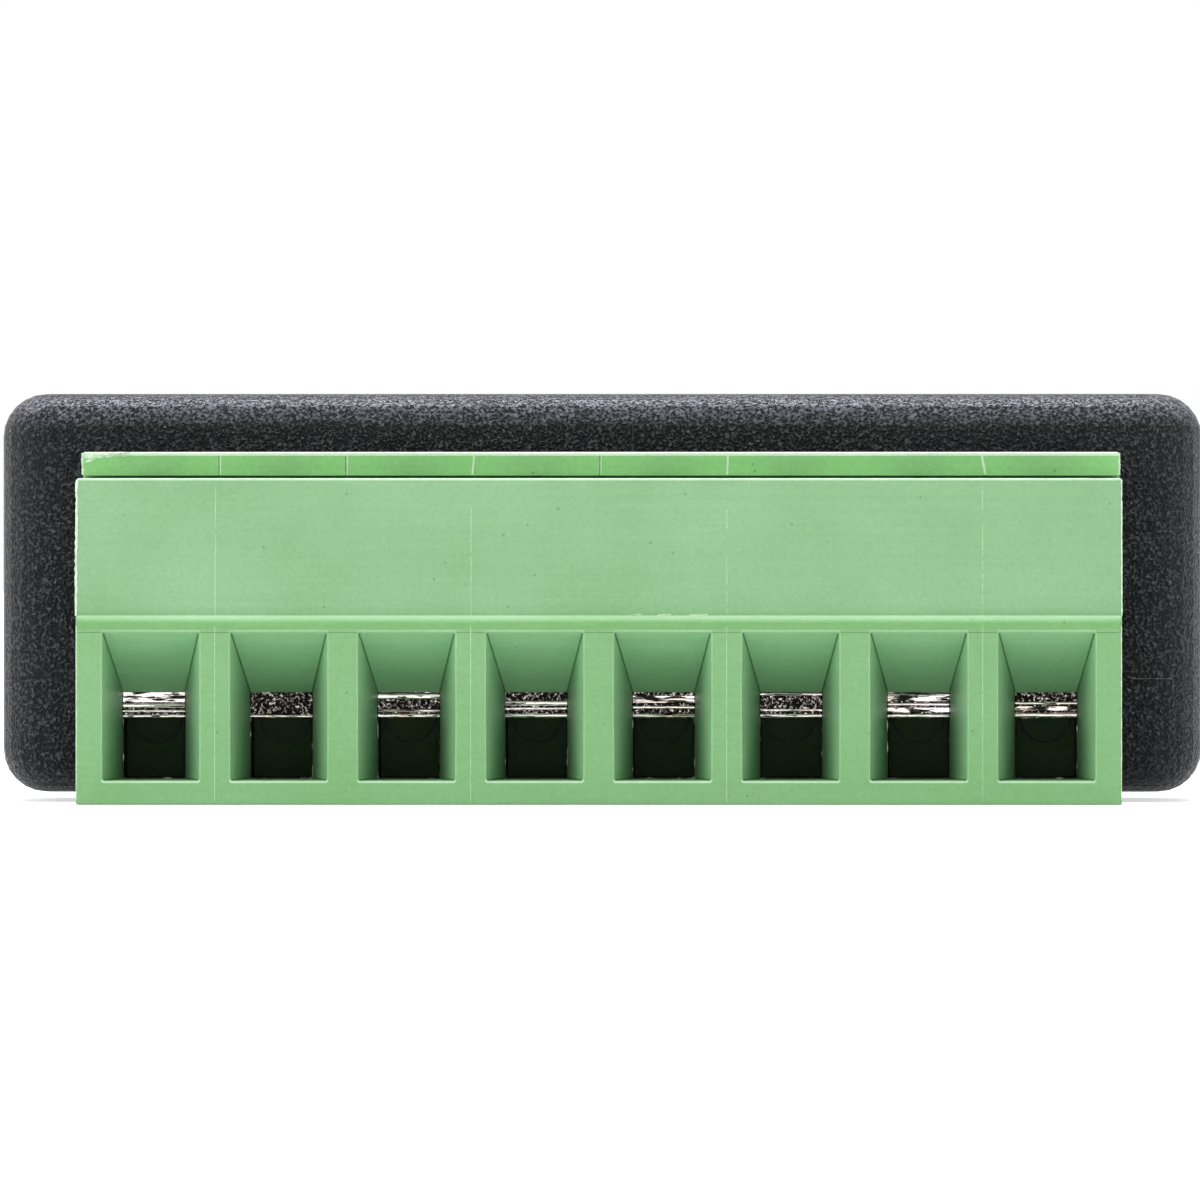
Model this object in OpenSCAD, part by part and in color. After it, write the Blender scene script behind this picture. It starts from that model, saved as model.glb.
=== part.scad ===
// Terminal block adapter. A green screw terminal plug sits in a header at the front of a flat black
// case, and a modular plug with a spring latch stands out of the back. A circuit board joins them.
// X runs across the terminals, Y from the wire entries to the modular plug, and Z is up.
// The origin is on the surface that the adapter lies on, under the middle of its length and width.

/* [Wire entries] */
// Number of terminals
poles = 8; // [6:1:12]
// Distance between neighbouring terminals
pitch = 3.81; // [3.5:0.01:5.08]
// Width of a funnel's mouth
mouth_w = 2.89; // [2.4:0.01:3.1]
// Wall outside the first and the last mouth
end_wall = 0.79; // [0.6:0.01:1.5]
// Depth of a funnel
funnel_d = 3.5; // [2.5:0.1:5]
// Depth of the straight wire hole between a funnel and its cage
hole_land = 0.4; // [0.3:0.05:0.8]
// Height that the funnel's roof loses over its depth
funnel_drop = 1.82; // [1:0.01:2.2]
// Height that the funnel's floor gains over its depth
floor_rise = 0.07; // [0.02:0.01:0.2]
// Width of a wire hole
wire_w = 1.88; // [1.5:0.01:2]
// Height of a wire hole under the contact bar
wire_h = 1.82; // [1.4:0.01:2.4]
// Radius of the round mark on the wall behind a wire
mark_r = 0.75; // [0.3:0.05:0.8]

/* [Plug housing] */
// Skin under the clamp cages
skin_t = 0.33; // [0.25:0.01:0.8]
// Band between the mouths and the ledge above them
border_h = 0.47; // [0.3:0.01:0.8]
// Depth of the ledge at the foot of the front plate
ledge_d = 0.5; // [0.2:0.05:1]
// How far the front plate leans back over its height
plate_lean = 0.8; // [0:0.05:1.2]
// Depth of the screw heads below the deck
head_recess = 1.78; // [1:0.01:2.5]
// Height of the rear ridge above the deck
ridge_h = 0.81; // [0.4:0.01:1.5]
// Height of the label slot at the foot of the ridge
label_h = 0.1; // [0.05:0.01:0.3]
// Depth of the label slot
label_d = 0.6; // [0.2:0.1:0.9]
// Wall between the contacts and the back of the housing's front part
rear_wall = 0.6; // [0.4:0.05:1.2]
// Wall beside the outer contacts in the part that goes into the header
mate_wall = 0.56; // [0.4:0.01:1]

/* [Clamps] */
// Clearance between a screw and the side walls of its cage
screw_clear = 0.09; // [0.05:0.01:0.2]
// Clearance of the screw's thread in the cage
thread_clear = 0.03; // [0.02:0.01:0.08]
// Diameter of a screw's head
head_d = 2.4; // [2.3:0.1:2.6]
// Height of a screw's head
head_h = 1.2; // [0.8:0.1:1.6]
// Width of the slot in a screw's head
slot_w = 0.45; // [0.3:0.05:0.6]
// Depth of the slot in a screw's head
slot_d = 0.6; // [0.3:0.05:0.7]
// Clearance around a screw in the housing
bore_clear = 0.1; // [0.05:0.01:0.15]
// Plastic between a screw's bore and the ridge
bore_wall = 0.1; // [0.05:0.05:0.4]
// Plastic under a screw's head
shoulder_t = 0.5; // [0.3:0.05:1]
// Thickness of a cage's side walls
cage_wall = 0.5; // [0.3:0.05:0.55]
// Thickness of a cage's floor
cage_floor_t = 0.42; // [0.3:0.01:0.6]
// Thickness of a cage's threaded top
cage_top_t = 1; // [0.6:0.1:1.4]
// Length of a cage along the wire
cage_d = 2.8; // [2.6:0.1:3.4]
// Plastic behind a cage
cage_back = 0.4; // [0.3:0.05:0.8]
// Gap between a contact bar and the top of a lowered cage
top_gap = 0.08; // [0.05:0.01:0.15]
// Gap between a contact bar and the floor of a raised cage
closed_gap = 0.07; // [0.05:0.01:0.2]
// Gap between a contact bar and a screw's tip
tip_gap = 0.03; // [0.02:0.01:0.06]
// Room above a raised cage
lift_room = 0.11; // [0.05:0.01:0.3]
// How far a cage's edges stand into the wire hole
cage_show = 0.05; // [0.02:0.01:0.08]
// Clearance of a cage in the housing
slide_clear = 0.05; // [0.03:0.01:0.08]
// Clearance of a contact bar in its cage and in the housing
bar_clear = 0.03; // [0.02:0.01:0.06]

/* [Contacts and header] */
// Thickness of a contact bar
bar_t = 0.74; // [0.5:0.01:0.9]
// Depth of a contact bar's end behind its funnel
bar_inset = 0.08; // [0.03:0.01:0.2]
// Clearance behind a contact's riser
riser_clear = 0.06; // [0.03:0.01:0.1]
// Depth of a wire hole beyond the front of the contact's riser
hole_past = 0.3; // [0.1:0.05:0.5]
// Depth of the round mark behind a wire
mark_d = 0.1; // [0.05:0.05:0.2]
// Thickness of a contact's spring leaves
leaf_t = 0.37; // [0.2:0.01:0.45]
// Room between a header pin and the leaves where the leaves leave the bar
leaf_gap = 0.55; // [0.4:0.05:0.7]
// Gap between a header pin and the leaves where they grip
grip_gap = 0.02; // [0.01:0.01:0.05]
// Distance of the grip behind the tips of the header pins
grip_in = 2.6; // [2.2:0.1:3]
// Length of the leaves beyond their grip
flare_l = 1.4; // [1:0.1:1.8]
// How far the leaves' tips open
flare_h = 0.3; // [0.2:0.05:0.4]
// Side of a square header pin
pin_t = 0.8; // [0.6:0.05:1]
// Height of the pins above the circuit board
pin_rise = 3.05; // [2.7:0.05:3.4]
// Depth of the pins' tips behind the header's mouth
pin_inset = 1.5; // [1:0.1:2.5]
// Clearance of a header pin in the header
pin_clear = 0.02; // [0.01:0.01:0.05]
// Gap between the header and the pins' legs
leg_gap = 0.5; // [0.3:0.05:0.8]
// Length of the pins below the circuit board
pin_tail = 0.6; // [0.3:0.05:1]
// Height of the header above the circuit board
header_h = 7.25; // [6.6:0.05:8]
// Length of the header
header_l = 9.2; // [8.5:0.1:11]
// Thickness of the header's top and bottom walls
header_wall = 0.7; // [0.5:0.05:1]
// Thickness of the header's side walls
header_side = 0.55; // [0.4:0.01:0.9]
// Thickness of the header's back wall
header_back = 1.3; // [0.8:0.1:1.8]
// Clearance around the plug in the header
mate_clear = 0.1; // [0.05:0.01:0.2]
// Gap between the plug's tip and the bottom of the header's socket
tip_room = 0.4; // [0.2:0.05:0.8]
// Gap between the plug's shoulder and the case
seat_gap = 0.2; // [0.1:0.05:0.5]

/* [Case] */
// Length of the case
case_l = 28; // [27:0.5:34]
// Length of the case's wide part
wide_l = 13; // [12:0.5:16]
// Width of the case at the back
tail_w = 17; // [16:0.5:22]
// Case beside the terminal plug, on each side
side_margin = 2.51; // [2:0.01:4]
// Thickness of the case's roof
roof_t = 1.2; // [0.8:0.05:1.6]
// Thickness of the case's floor
case_floor = 1; // [0.8:0.05:1.6]
// Radius of the case's edges, and thickness of its side walls
edge_r = 1.3; // [0.8:0.1:1.8]
// Radius of the case's upright corners
corner_r = 2; // [1.9:0.1:3]
// Height of the case's underside above the plug's underside
case_lift = 0.3; // [0.1:0.05:1]
// Height of the bottom shell
split_h = 3.42; // [3.2:0.01:4]
// Room above the header
roof_gap = 0.7; // [0.3:0.05:2]
// Gap that shows as the parting line
part_gap = 0.04; // [0.02:0.01:0.1]
// Clearance between the case and what stands out of it
port_clear = 0.05; // [0.03:0.01:0.1]
// Thickness of the circuit board
board_t = 1; // [0.8:0.1:1.6]
// Room under the pins' tails
tail_room = 0.25; // [0.15:0.05:0.6]
// Clearance of the circuit board in the case
board_clear = 0.3; // [0.2:0.05:0.6]
// Clearance around a pin's corners in the circuit board
hole_clear = 0.05; // [0.03:0.01:0.1]
// Radius of the locating pegs
peg_r = 1; // [0.8:0.05:1.2]
// Distance of a peg from the middle
peg_x = 11.5; // [10.5:0.1:12]
// Distance of the pegs behind the case's front
peg_y = 14; // [13.6:0.1:14.6]
// Wall of the bosses around the pegs
boss_wall = 0.8; // [0.5:0.05:1]
// Clearance of a peg in its boss and in the board
peg_clear = 0.04; // [0.03:0.01:0.1]
// Distance of the pegs' tips from the roof
peg_short = 1; // [0.8:0.1:2]
// Room above a peg's tip in its boss
peg_room = 0.3; // [0.1:0.05:0.6]
// Gap between the circuit board and what holds it from above and below
hold_gap = 0.05; // [0.03:0.01:0.1]

/* [Modular plug] */
// Number of blades
ways = 8; // [4:2:8]
// Distance between neighbouring blades
way_pitch = 1.02; // [1:0.01:1.1]
// Width of the modular plug
mod_w = 11.68; // [11.4:0.01:12]
// Height of the modular plug
mod_h = 8; // [7.6:0.1:8.4]
// Length of the modular plug outside the case
mod_reach = 12.4; // [12:0.1:14]
// Length of the modular plug inside the case
mod_inside = 8; // [6.5:0.1:8.6]
// Height of the modular plug above the case's floor
mod_lift = 0.4; // [0.2:0.05:0.6]
// Gap between the modular plug and the circuit board
board_gap = 0.4; // [0.2:0.05:0.8]
// Thickness of the flange that keeps the plug in the case
flange_t = 1.4; // [1:0.1:2]
// Height of the flange beyond the plug's sides
flange_h = 1; // [0.6:0.1:1.2]
// Gap between the flange and the case's back wall
flange_gap = 0.1; // [0.05:0.05:0.3]
// Thickness of a blade
blade_t = 0.35; // [0.3:0.01:0.4]
// Length of a blade
blade_l = 5.2; // [4:0.1:6]
// Height of a blade
blade_h = 1.6; // [1.4:0.1:2]
// Depth of a blade below the plug's surface
blade_inset = 0.4; // [0.3:0.05:0.6]
// Distance of a blade from the plug's nose
blade_back = 0.9; // [0.6:0.1:1.5]
// Thickness of a blade's tail
blade_tail = 0.35; // [0.25:0.01:0.4]
// Length of the blades' tails over the circuit board
blade_run = 2; // [1.5:0.1:2.6]
// Gap between the blades' tails and the circuit board
run_gap = 0.15; // [0.1:0.05:0.4]
// Clearance around a blade
blade_clear = 0.04; // [0.02:0.01:0.08]

/* [Latch] */
// Thickness of the latch
latch_t = 1; // [0.8:0.1:1.2]
// Width of the latch between its root and its catch
latch_w = 6; // [5:0.1:6.4]
// Width of the latch's thumb tab
tab_w = 3.3; // [2.6:0.1:4]
// Length of the latch from its root to its catch
catch_l = 6.4; // [5.5:0.1:7]
// Length of the latch from its root to its free end
latch_l = 10.6; // [9.5:0.1:10.8]
// Distance of the root from the plug's nose
root_back = 1.2; // [0.8:0.1:1.6]
// Slope of the relaxed latch
latch_angle = 8; // [7:0.5:10]
// Gap between the latch's root and the plug
root_gap = 0.05; // [0.03:0.01:0.1]

/* [Hidden] */
$fn = 48;
over = 0.2;
seam = 0.01;

// Heights in the terminal plug, from its underside up
clear = slide_clear;
cage_z = skin_t + clear;
cage_floor_z = cage_z + cage_floor_t;
floor_z = cage_floor_z - cage_show;
lip_z = floor_z - floor_rise;
bar_z = floor_z + wire_h;
bar_top = bar_z + bar_t;
hole_top = bar_top + bar_clear;
mouth_top = hole_top + funnel_drop;
sill_z = mouth_top + border_h;
cage_top_z = bar_top + top_gap;
lift = bar_z - cage_floor_z - closed_gap;
cage_room_top = cage_top_z + cage_top_t + lift + lift_room;
shoulder_z = cage_room_top + shoulder_t;
head_z = shoulder_z + clear;
head_top = head_z + head_h;
deck_z = head_top + head_recess;
ridge_z = deck_z + ridge_h;

// Depths in the terminal plug, behind its front
bar_y = funnel_d + bar_inset;
cage_y = funnel_d + hole_land + clear;
screw_y = cage_y + cage_d / 2;
bore_r = head_d / 2 + bore_clear;
ridge_y = screw_y + bore_r + bore_wall;
riser_y = cage_y + cage_d + cage_back;
riser_end = riser_y + bar_t;
cell_end = riser_end + riser_clear;
front_part_d = cell_end + rear_wall;
plug_reach = front_part_d + seat_gap;
tunnel_end = riser_y + hole_past;

// Widths of the terminal plug
plug_w = (poles - 1) * pitch + mouth_w + 2 * end_wall;
cage_window_w = wire_w - 2 * cage_show;
screw_d = cage_window_w - 2 * screw_clear;
bar_w = cage_window_w - 2 * bar_clear;
cage_w = cage_window_w + 2 * cage_wall;
cell_w = bar_w + 2 * bar_clear;
mate_w = (poles - 1) * pitch + cell_w + 2 * mate_wall;

// Heights in the case
case_z = case_lift;
floor_in_z = case_z + case_floor;
board_z = floor_in_z + tail_room + pin_tail;
board_top = board_z + board_t;
header_top = board_top + header_h;
roof_in_z = header_top + roof_gap;
case_top = roof_in_z + roof_t;
split_z = case_z + split_h;
pin_z = board_top + pin_rise;

// Header and the part of the plug that goes into it
socket_z = board_top + header_wall;
socket_top = header_top - header_wall;
socket_w = mate_w + 2 * mate_clear;
socket_d = header_l - header_back;
header_w = socket_w + 2 * header_side;
mate_end = plug_reach + socket_d - tip_room;
leaf_root = pin_t / 2 + leaf_gap;
cell_half = leaf_root + leaf_t + bar_clear;
leg_y = header_l + leg_gap;

// Places along the adapter
overall_l = plug_reach + case_l + mod_reach;
front_y = -overall_l / 2;
case_y = front_y + plug_reach;
case_end = case_y + case_l;
nose_y = case_end + mod_reach;

// Case outline
case_w = plug_w + 2 * side_margin;
corner_x = case_w / 2 - corner_r;
tail_x = tail_w / 2 - corner_r;
tail_slope = (corner_x - tail_x) / (case_l - corner_r - wide_l);
slant = sqrt(1 + tail_slope * tail_slope);
// Centres of the outline's round corners, counterclockwise from the front right
corners = [
    [corner_x, case_y + corner_r],
    [corner_x, case_y + wide_l],
    [tail_x, case_end - corner_r],
    [-tail_x, case_end - corner_r],
    [-corner_x, case_y + wide_l],
    [-corner_x, case_y + corner_r],
];
arc_steps = 6;
edge_angles = [for (i = [0:arc_steps]) 90 * i / arc_steps];
// Rounded edges as pairs of a distance in from the outline and a height
edge_rings = concat(
    [for (a = edge_angles) [edge_r * (1 - sin(a)), case_z + edge_r * (1 - cos(a))]],
    [for (a = edge_angles) [edge_r * (1 - cos(a)), case_top - edge_r * (1 - sin(a))]]
);
boss_r = peg_r + peg_clear + boss_wall;
boss_z = board_top + hold_gap;
peg_top = roof_in_z - peg_short;

// Modular plug
mod_z = floor_in_z + mod_lift;
mod_top = mod_z + mod_h;
mod_back = case_end - mod_inside;
flange_y = case_end - edge_r - flange_gap - flange_t;
board_end = mod_back - board_gap;
blade_z = mod_z + blade_inset;
run_z = max(blade_z + blade_h - blade_tail, board_top + run_gap);
blade_top = run_z + blade_tail;
// Radius of a hole in the circuit board for a square leg of that side
function leg_hole_r(side) = side * sqrt(2) / 2 + hole_clear;
root_y = nose_y - root_back;
root_z = mod_top + root_gap + latch_t / 2;

function pole_x(i) = (i - (poles + 1) / 2) * pitch;
function way_x(i) = (i - (ways + 1) / 2) * way_pitch;
// Half the width of the case's outline at a depth behind its front, moved in from the outline by inset
function case_half_w(y, inset) =
    min(case_w / 2 - inset, corner_x + (corner_r - inset) * slant - (y - wide_l) * tail_slope);
function side_run(k) = corners[(k + 1) % len(corners)] - corners[k];
function side_angle(k) = atan2(side_run(k)[1], side_run(k)[0]);
function side_normal(k) = [sin(side_angle(k)), -cos(side_angle(k))];
function side_before(k) = (k + len(corners) - 1) % len(corners);
function turn(k) = (side_angle(k) - side_angle(side_before(k)) + 360) % 360;
// A point on the round corner k, step i of its arc, moved in from the outline by inset
function corner_point(k, i, inset) =
    let (angle = side_angle(side_before(k)) - 90 + turn(k) * i / arc_steps)
    corners[k] + (corner_r - inset) * [cos(angle), sin(angle)];
// The sharp corner k of the hollow inside the side walls
function wall_corner(k) =
    let (a = side_normal(side_before(k)), b = side_normal(k))
    corners[k] + (corner_r - edge_r) * (a + b) / (1 + a * b);

// A box between two opposite corners
module block(low, high) {
    translate(low) cube(high - low);
}

// A box of width w in the middle of X, between two corners in Y and Z
module mid_block(w, low, high) {
    block([-w / 2, low[0], low[1]], [w / 2, high[0], high[1]]);
}

// A side outline in Y and Z, made w wide across the middle of X
module side_prism(w, outline) {
    translate([-w / 2, 0, 0])
        rotate([90, 0, 90])
            linear_extrude(w) polygon(outline);
}

// The tapered entry in front of one wire hole
module funnel() {
    side_slope = (mouth_w - wire_w) / 2 / funnel_d;
    roof_slope = funnel_drop / funnel_d;
    half_front = mouth_w / 2 + side_slope * over;
    half_back = wire_w / 2;
    intersection() {
        side_prism(mouth_w + 1, [
            [-over, lip_z],
            [0, lip_z],
            [funnel_d, floor_z],
            [funnel_d, hole_top],
            [-over, mouth_top + roof_slope * over],
        ]);
        linear_extrude(mouth_top + 1) polygon([
            [-half_front, -over],
            [half_front, -over],
            [half_back, funnel_d],
            [-half_back, funnel_d],
        ]);
    }
}

// Everything that is hollow behind one funnel
module pole_room() {
    funnel();
    mid_block(wire_w, [funnel_d - seam, floor_z], [tunnel_end, hole_top]);
    translate([0, tunnel_end - over, bar_z])
        rotate([-90, 0, 0]) cylinder(h = over + mark_d, r = mark_r);
    mid_block(cage_w + 2 * clear, [cage_y - clear, skin_t], [cage_y + cage_d + clear, cage_room_top]);
    translate([0, screw_y, cage_room_top - over])
        cylinder(h = shoulder_t + 2 * over, r = screw_d / 2 + bore_clear);
    translate([0, screw_y, shoulder_z])
        cylinder(h = deck_z - shoulder_z + over, r = bore_r);
    mid_block(cell_w, [funnel_d, bar_z - bar_clear], [cell_end, hole_top]);
    mid_block(cell_w, [riser_y - bar_clear, bar_z - bar_clear], [cell_end, pin_z + cell_half]);
    mid_block(cell_w, [riser_end, pin_z - cell_half], [mate_end + over, pin_z + cell_half]);
}

module plug_housing() {
    color("#8cbe87") translate([0, front_y, 0]) difference() {
        union() {
            side_prism(plug_w, [
                [0, 0],
                [0, sill_z],
                [ledge_d, sill_z],
                [ledge_d + plate_lean, deck_z],
                [ridge_y + label_d, deck_z],
                [ridge_y + label_d, deck_z + label_h],
                [ridge_y, deck_z + label_h],
                [ridge_y, ridge_z],
                [front_part_d, ridge_z],
                [front_part_d, 0],
            ]);
            mid_block(mate_w, [front_part_d - 1, socket_z + mate_clear],
                [mate_end, socket_top - mate_clear]);
        }
        for (i = [1:poles]) translate([pole_x(i), 0, 0]) pole_room();
    }
}

// A spring leaf on one side of the header pin, which bends in to grip it and flares at its tip
module leaf() {
    root = leaf_root;
    grip = pin_t / 2 + grip_gap;
    grip_y = plug_reach + pin_inset + grip_in;
    tip_y = grip_y + flare_l;
    side_prism(bar_w, [
        [riser_end - 0.1, pin_z + root],
        [grip_y - 0.4, pin_z + grip],
        [grip_y + 0.4, pin_z + grip],
        [tip_y, pin_z + grip + flare_h],
        [tip_y, pin_z + grip + flare_h + leaf_t],
        [grip_y + 0.3, pin_z + grip + leaf_t],
        [grip_y - 0.3, pin_z + grip + leaf_t],
        [riser_end - 0.1, pin_z + root + leaf_t],
    ]);
}

module plug_contact(i) {
    color("#b8b2ab") translate([pole_x(i), front_y, 0]) union() {
        mid_block(bar_w, [bar_y, bar_z], [riser_end, bar_top]);
        mid_block(bar_w, [riser_y, bar_z], [riser_end, pin_z + leaf_root + leaf_t]);
        leaf();
        translate([0, 0, 2 * pin_z]) mirror([0, 0, 1]) leaf();
    }
}

module clamp_cage(i) {
    color("#c9c6bd") translate([pole_x(i), front_y, 0]) difference() {
        mid_block(cage_w, [cage_y, cage_z], [cage_y + cage_d, cage_top_z + cage_top_t]);
        mid_block(cage_window_w, [cage_y - over, cage_floor_z], [cage_y + cage_d + over, cage_top_z]);
        translate([0, screw_y, cage_top_z - over])
            cylinder(h = cage_top_t + 2 * over, r = screw_d / 2);
    }
}

module clamp_screw(i) {
    tip_z = bar_top + tip_gap;
    color("#d3d3ce") translate([pole_x(i), front_y + screw_y, 0]) difference() {
        union() {
            translate([0, 0, tip_z])
                cylinder(h = head_z - tip_z + 0.1, r = screw_d / 2 - thread_clear);
            translate([0, 0, head_z]) cylinder(h = head_h, d = head_d);
        }
        block([-head_d, -slot_w / 2, head_top - slot_d], [head_d, slot_w / 2, head_top + over]);
    }
}

module header_housing() {
    hole = pin_t + 2 * pin_clear;
    color("#7fb774") translate([0, case_y, 0]) difference() {
        mid_block(header_w, [0, board_top], [header_l, header_top]);
        mid_block(socket_w, [-over, socket_z], [socket_d, socket_top]);
        for (i = [1:poles]) translate([pole_x(i), 0, 0])
            mid_block(hole, [socket_d - over, pin_z - hole / 2], [header_l + over, pin_z + hole / 2]);
    }
}

module header_pin(i) {
    color("#cfcac0") translate([pole_x(i), case_y, 0]) union() {
        mid_block(pin_t, [pin_inset, pin_z - pin_t / 2], [leg_y + pin_t, pin_z + pin_t / 2]);
        mid_block(pin_t, [leg_y, board_z - pin_tail], [leg_y + pin_t, pin_z + pin_t / 2]);
    }
}

module circuit_board() {
    front = edge_r + board_clear;
    knee = wide_l + (corner_r - front) * (slant - 1) / tail_slope;
    back = board_end - case_y;
    front_half = case_half_w(front, front);
    back_half = case_half_w(back, front);
    color("#2f6b3a") translate([0, case_y, board_z]) difference() {
        linear_extrude(board_t) polygon([
            [-front_half, front],
            [front_half, front],
            [front_half, knee],
            [back_half, back],
            [-back_half, back],
            [-front_half, knee],
        ]);
        for (i = [1:poles])
            translate([pole_x(i), leg_y + pin_t / 2, -over]) cylinder(h = board_t + 2 * over, r = leg_hole_r(pin_t));
        for (side = [-1, 1])
            translate([side * peg_x, peg_y, -over]) cylinder(h = board_t + 2 * over, r = peg_r + peg_clear);
        for (i = [1:ways])
            translate([way_x(i), back - blade_run, -over])
                cylinder(h = board_t + 2 * over, r = leg_hole_r(blade_tail));
    }
}

// The closed case with rounded edges, before it is hollowed: rings of points from its underside to its top
module case_solid() {
    last = len(edge_rings) - 1;
    count = len(corners) * (arc_steps + 1);
    points = [
        for (ring = edge_rings, k = [0:len(corners) - 1], i = [0:arc_steps])
            concat(corner_point(k, i, ring[0]), ring[1])
    ];
    sides = [
        for (j = [0:last - 1], i = [0:count - 1])
            let (next = (i + 1) % count, low = j * count, high = low + count)
            [low + i, high + i, high + next, low + next]
    ];
    underside = [for (i = [0:count - 1]) i];
    top = [for (i = [count - 1:-1:0]) last * count + i];
    polyhedron(points, concat(sides, [underside, top]));
}

// What is taken out of the closed case: its hollow and its two ports
module case_room() {
    translate([0, 0, floor_in_z]) linear_extrude(roof_in_z - floor_in_z)
        polygon([for (k = [0:len(corners) - 1]) wall_corner(k)]);
    mid_block(header_w + 2 * port_clear, [case_y - over, board_top - port_clear],
        [case_y + edge_r + over, header_top + port_clear]);
    mid_block(mod_w + 2 * port_clear, [case_end - edge_r - over, mod_z - port_clear],
        [case_end + over, mod_top + port_clear]);
}

// One half of the case, between two heights
module case_half(low, high) {
    difference() {
        case_solid();
        case_room();
        block([-case_w, case_y - 1, -1], [case_w, case_end + 1, low]);
        block([-case_w, case_y - 1, high], [case_w, case_end + 1, case_top + 1]);
    }
}

module bottom_shell() {
    color("#262628") union() {
        case_half(-0.5, split_z - part_gap / 2);
        for (side = [-1, 1]) translate([side * peg_x, case_y + peg_y, 0]) {
            translate([0, 0, floor_in_z - over])
                cylinder(h = board_z - hold_gap - floor_in_z + over, r = boss_r);
            translate([0, 0, floor_in_z]) cylinder(h = peg_top - floor_in_z, r = peg_r);
        }
    }
}

module top_shell() {
    color("#2a2a2c") difference() {
        union() {
            case_half(split_z + part_gap / 2, case_top + 0.5);
            for (side = [-1, 1]) translate([side * peg_x, case_y + peg_y, boss_z])
                cylinder(h = roof_in_z - boss_z + over, r = boss_r);
        }
        for (side = [-1, 1]) translate([side * peg_x, case_y + peg_y, boss_z - over])
            cylinder(h = peg_top + peg_room - boss_z + over, r = peg_r + peg_clear);
    }
}

// The slot for one blade and the channel for its tail, around the middle of X
module blade_room() {
    slot = blade_t + 2 * blade_clear;
    channel = blade_tail + 2 * blade_clear;
    blade_end = nose_y - blade_back;
    mid_block(slot, [blade_end - blade_l - blade_clear, mod_z - over],
        [nose_y + over, blade_top + blade_clear]);
    mid_block(channel, [mod_back - over, run_z - blade_clear],
        [blade_end - blade_l, run_z + blade_tail + blade_clear]);
}

module modular_plug() {
    color("#dfe6e4") difference() {
        union() {
            mid_block(mod_w, [mod_back, mod_z], [nose_y, mod_top]);
            mid_block(mod_w + 2 * flange_h, [flange_y, mod_z], [flange_y + flange_t, mod_top]);
        }
        for (i = [1:ways]) translate([way_x(i), 0, 0]) blade_room();
    }
}

module modular_blade(i) {
    blade_end = nose_y - blade_back;
    hole_y = board_end - blade_run;
    color("#d8b25a") translate([way_x(i), 0, 0]) union() {
        mid_block(blade_t, [blade_end - blade_l, blade_z], [blade_end, blade_top]);
        mid_block(blade_tail, [hole_y - blade_tail / 2, run_z],
            [blade_end - blade_l + 0.1, run_z + blade_tail]);
        mid_block(blade_tail, [hole_y - blade_tail / 2, board_z - pin_tail / 2],
            [hole_y + blade_tail / 2, run_z + blade_tail]);
    }
}

// The latch, drawn level from its root towards the case and then tilted about its root
module latch_lever() {
    half = latch_t / 2;
    color("#dfe6e4") translate([0, root_y, root_z]) rotate([-latch_angle, 0, 0]) intersection() {
        union() {
            side_prism(latch_w, [
                [-latch_l, -half],
                [0, -half],
                [0, half],
                [-latch_l, half],
            ]);
            rotate([0, 90, 0]) cylinder(h = latch_w, r = half, center = true);
        }
        translate([0, 0, -latch_t]) linear_extrude(2 * latch_t) polygon([
            [-latch_w / 2, latch_t],
            [-latch_w / 2, -catch_l],
            [-tab_w / 2, -catch_l],
            [-tab_w / 2, -latch_l],
            [tab_w / 2, -latch_l],
            [tab_w / 2, -catch_l],
            [latch_w / 2, -catch_l],
            [latch_w / 2, latch_t],
        ]);
    }
}

plug_housing();
header_housing();
circuit_board();
top_shell();
bottom_shell();
modular_plug();
latch_lever();
for (i = [1:poles]) {
    clamp_screw(i);
    clamp_cage(i);
    plug_contact(i);
    header_pin(i);
}
for (i = [1:ways])
    modular_blade(i);
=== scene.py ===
import math

import bmesh
import bpy
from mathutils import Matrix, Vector


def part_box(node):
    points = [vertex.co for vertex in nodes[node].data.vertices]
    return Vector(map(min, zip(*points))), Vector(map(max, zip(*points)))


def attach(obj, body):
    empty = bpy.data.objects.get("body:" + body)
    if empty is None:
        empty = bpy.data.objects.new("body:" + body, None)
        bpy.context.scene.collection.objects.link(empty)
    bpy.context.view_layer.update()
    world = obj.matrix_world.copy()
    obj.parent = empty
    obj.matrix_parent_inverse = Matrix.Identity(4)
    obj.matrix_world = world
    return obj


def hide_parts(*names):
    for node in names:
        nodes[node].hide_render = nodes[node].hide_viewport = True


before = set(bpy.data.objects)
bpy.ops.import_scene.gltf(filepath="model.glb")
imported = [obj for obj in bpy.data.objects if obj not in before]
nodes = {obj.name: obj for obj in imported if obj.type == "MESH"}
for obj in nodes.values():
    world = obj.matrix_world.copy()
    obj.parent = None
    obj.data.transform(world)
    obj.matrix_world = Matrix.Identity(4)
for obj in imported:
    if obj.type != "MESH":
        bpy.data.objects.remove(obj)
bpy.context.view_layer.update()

# Sizes are written in millimetres and turned into metres where a piece is made.
MM = 0.001

# Corners closer than WELD become one, and places closer than NEAR count as the same.
WELD = 0.0005
NEAR = 0.004

# Poles of the terminal plug and ways of the modular plug
POLES = range(1, 9)
PITCH = 3.81
WAY_PITCH = 1.02


def pole_x(pole):
    return (pole - 4.5) * PITCH


plug_low, plug_high = [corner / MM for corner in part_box("plug_housing")]
screw_low, screw_high = [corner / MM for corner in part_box("clamp_screw_1")]
bar_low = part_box("plug_contact_1")[0] / MM
pin_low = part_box("header_pin_1")[0] / MM
header_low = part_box("header_housing")[0] / MM
mod_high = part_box("modular_plug")[1] / MM
blade_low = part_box("modular_blade_1")[0] / MM
case_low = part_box("bottom_shell")[0] / MM
case_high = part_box("top_shell")[1] / MM

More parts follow.
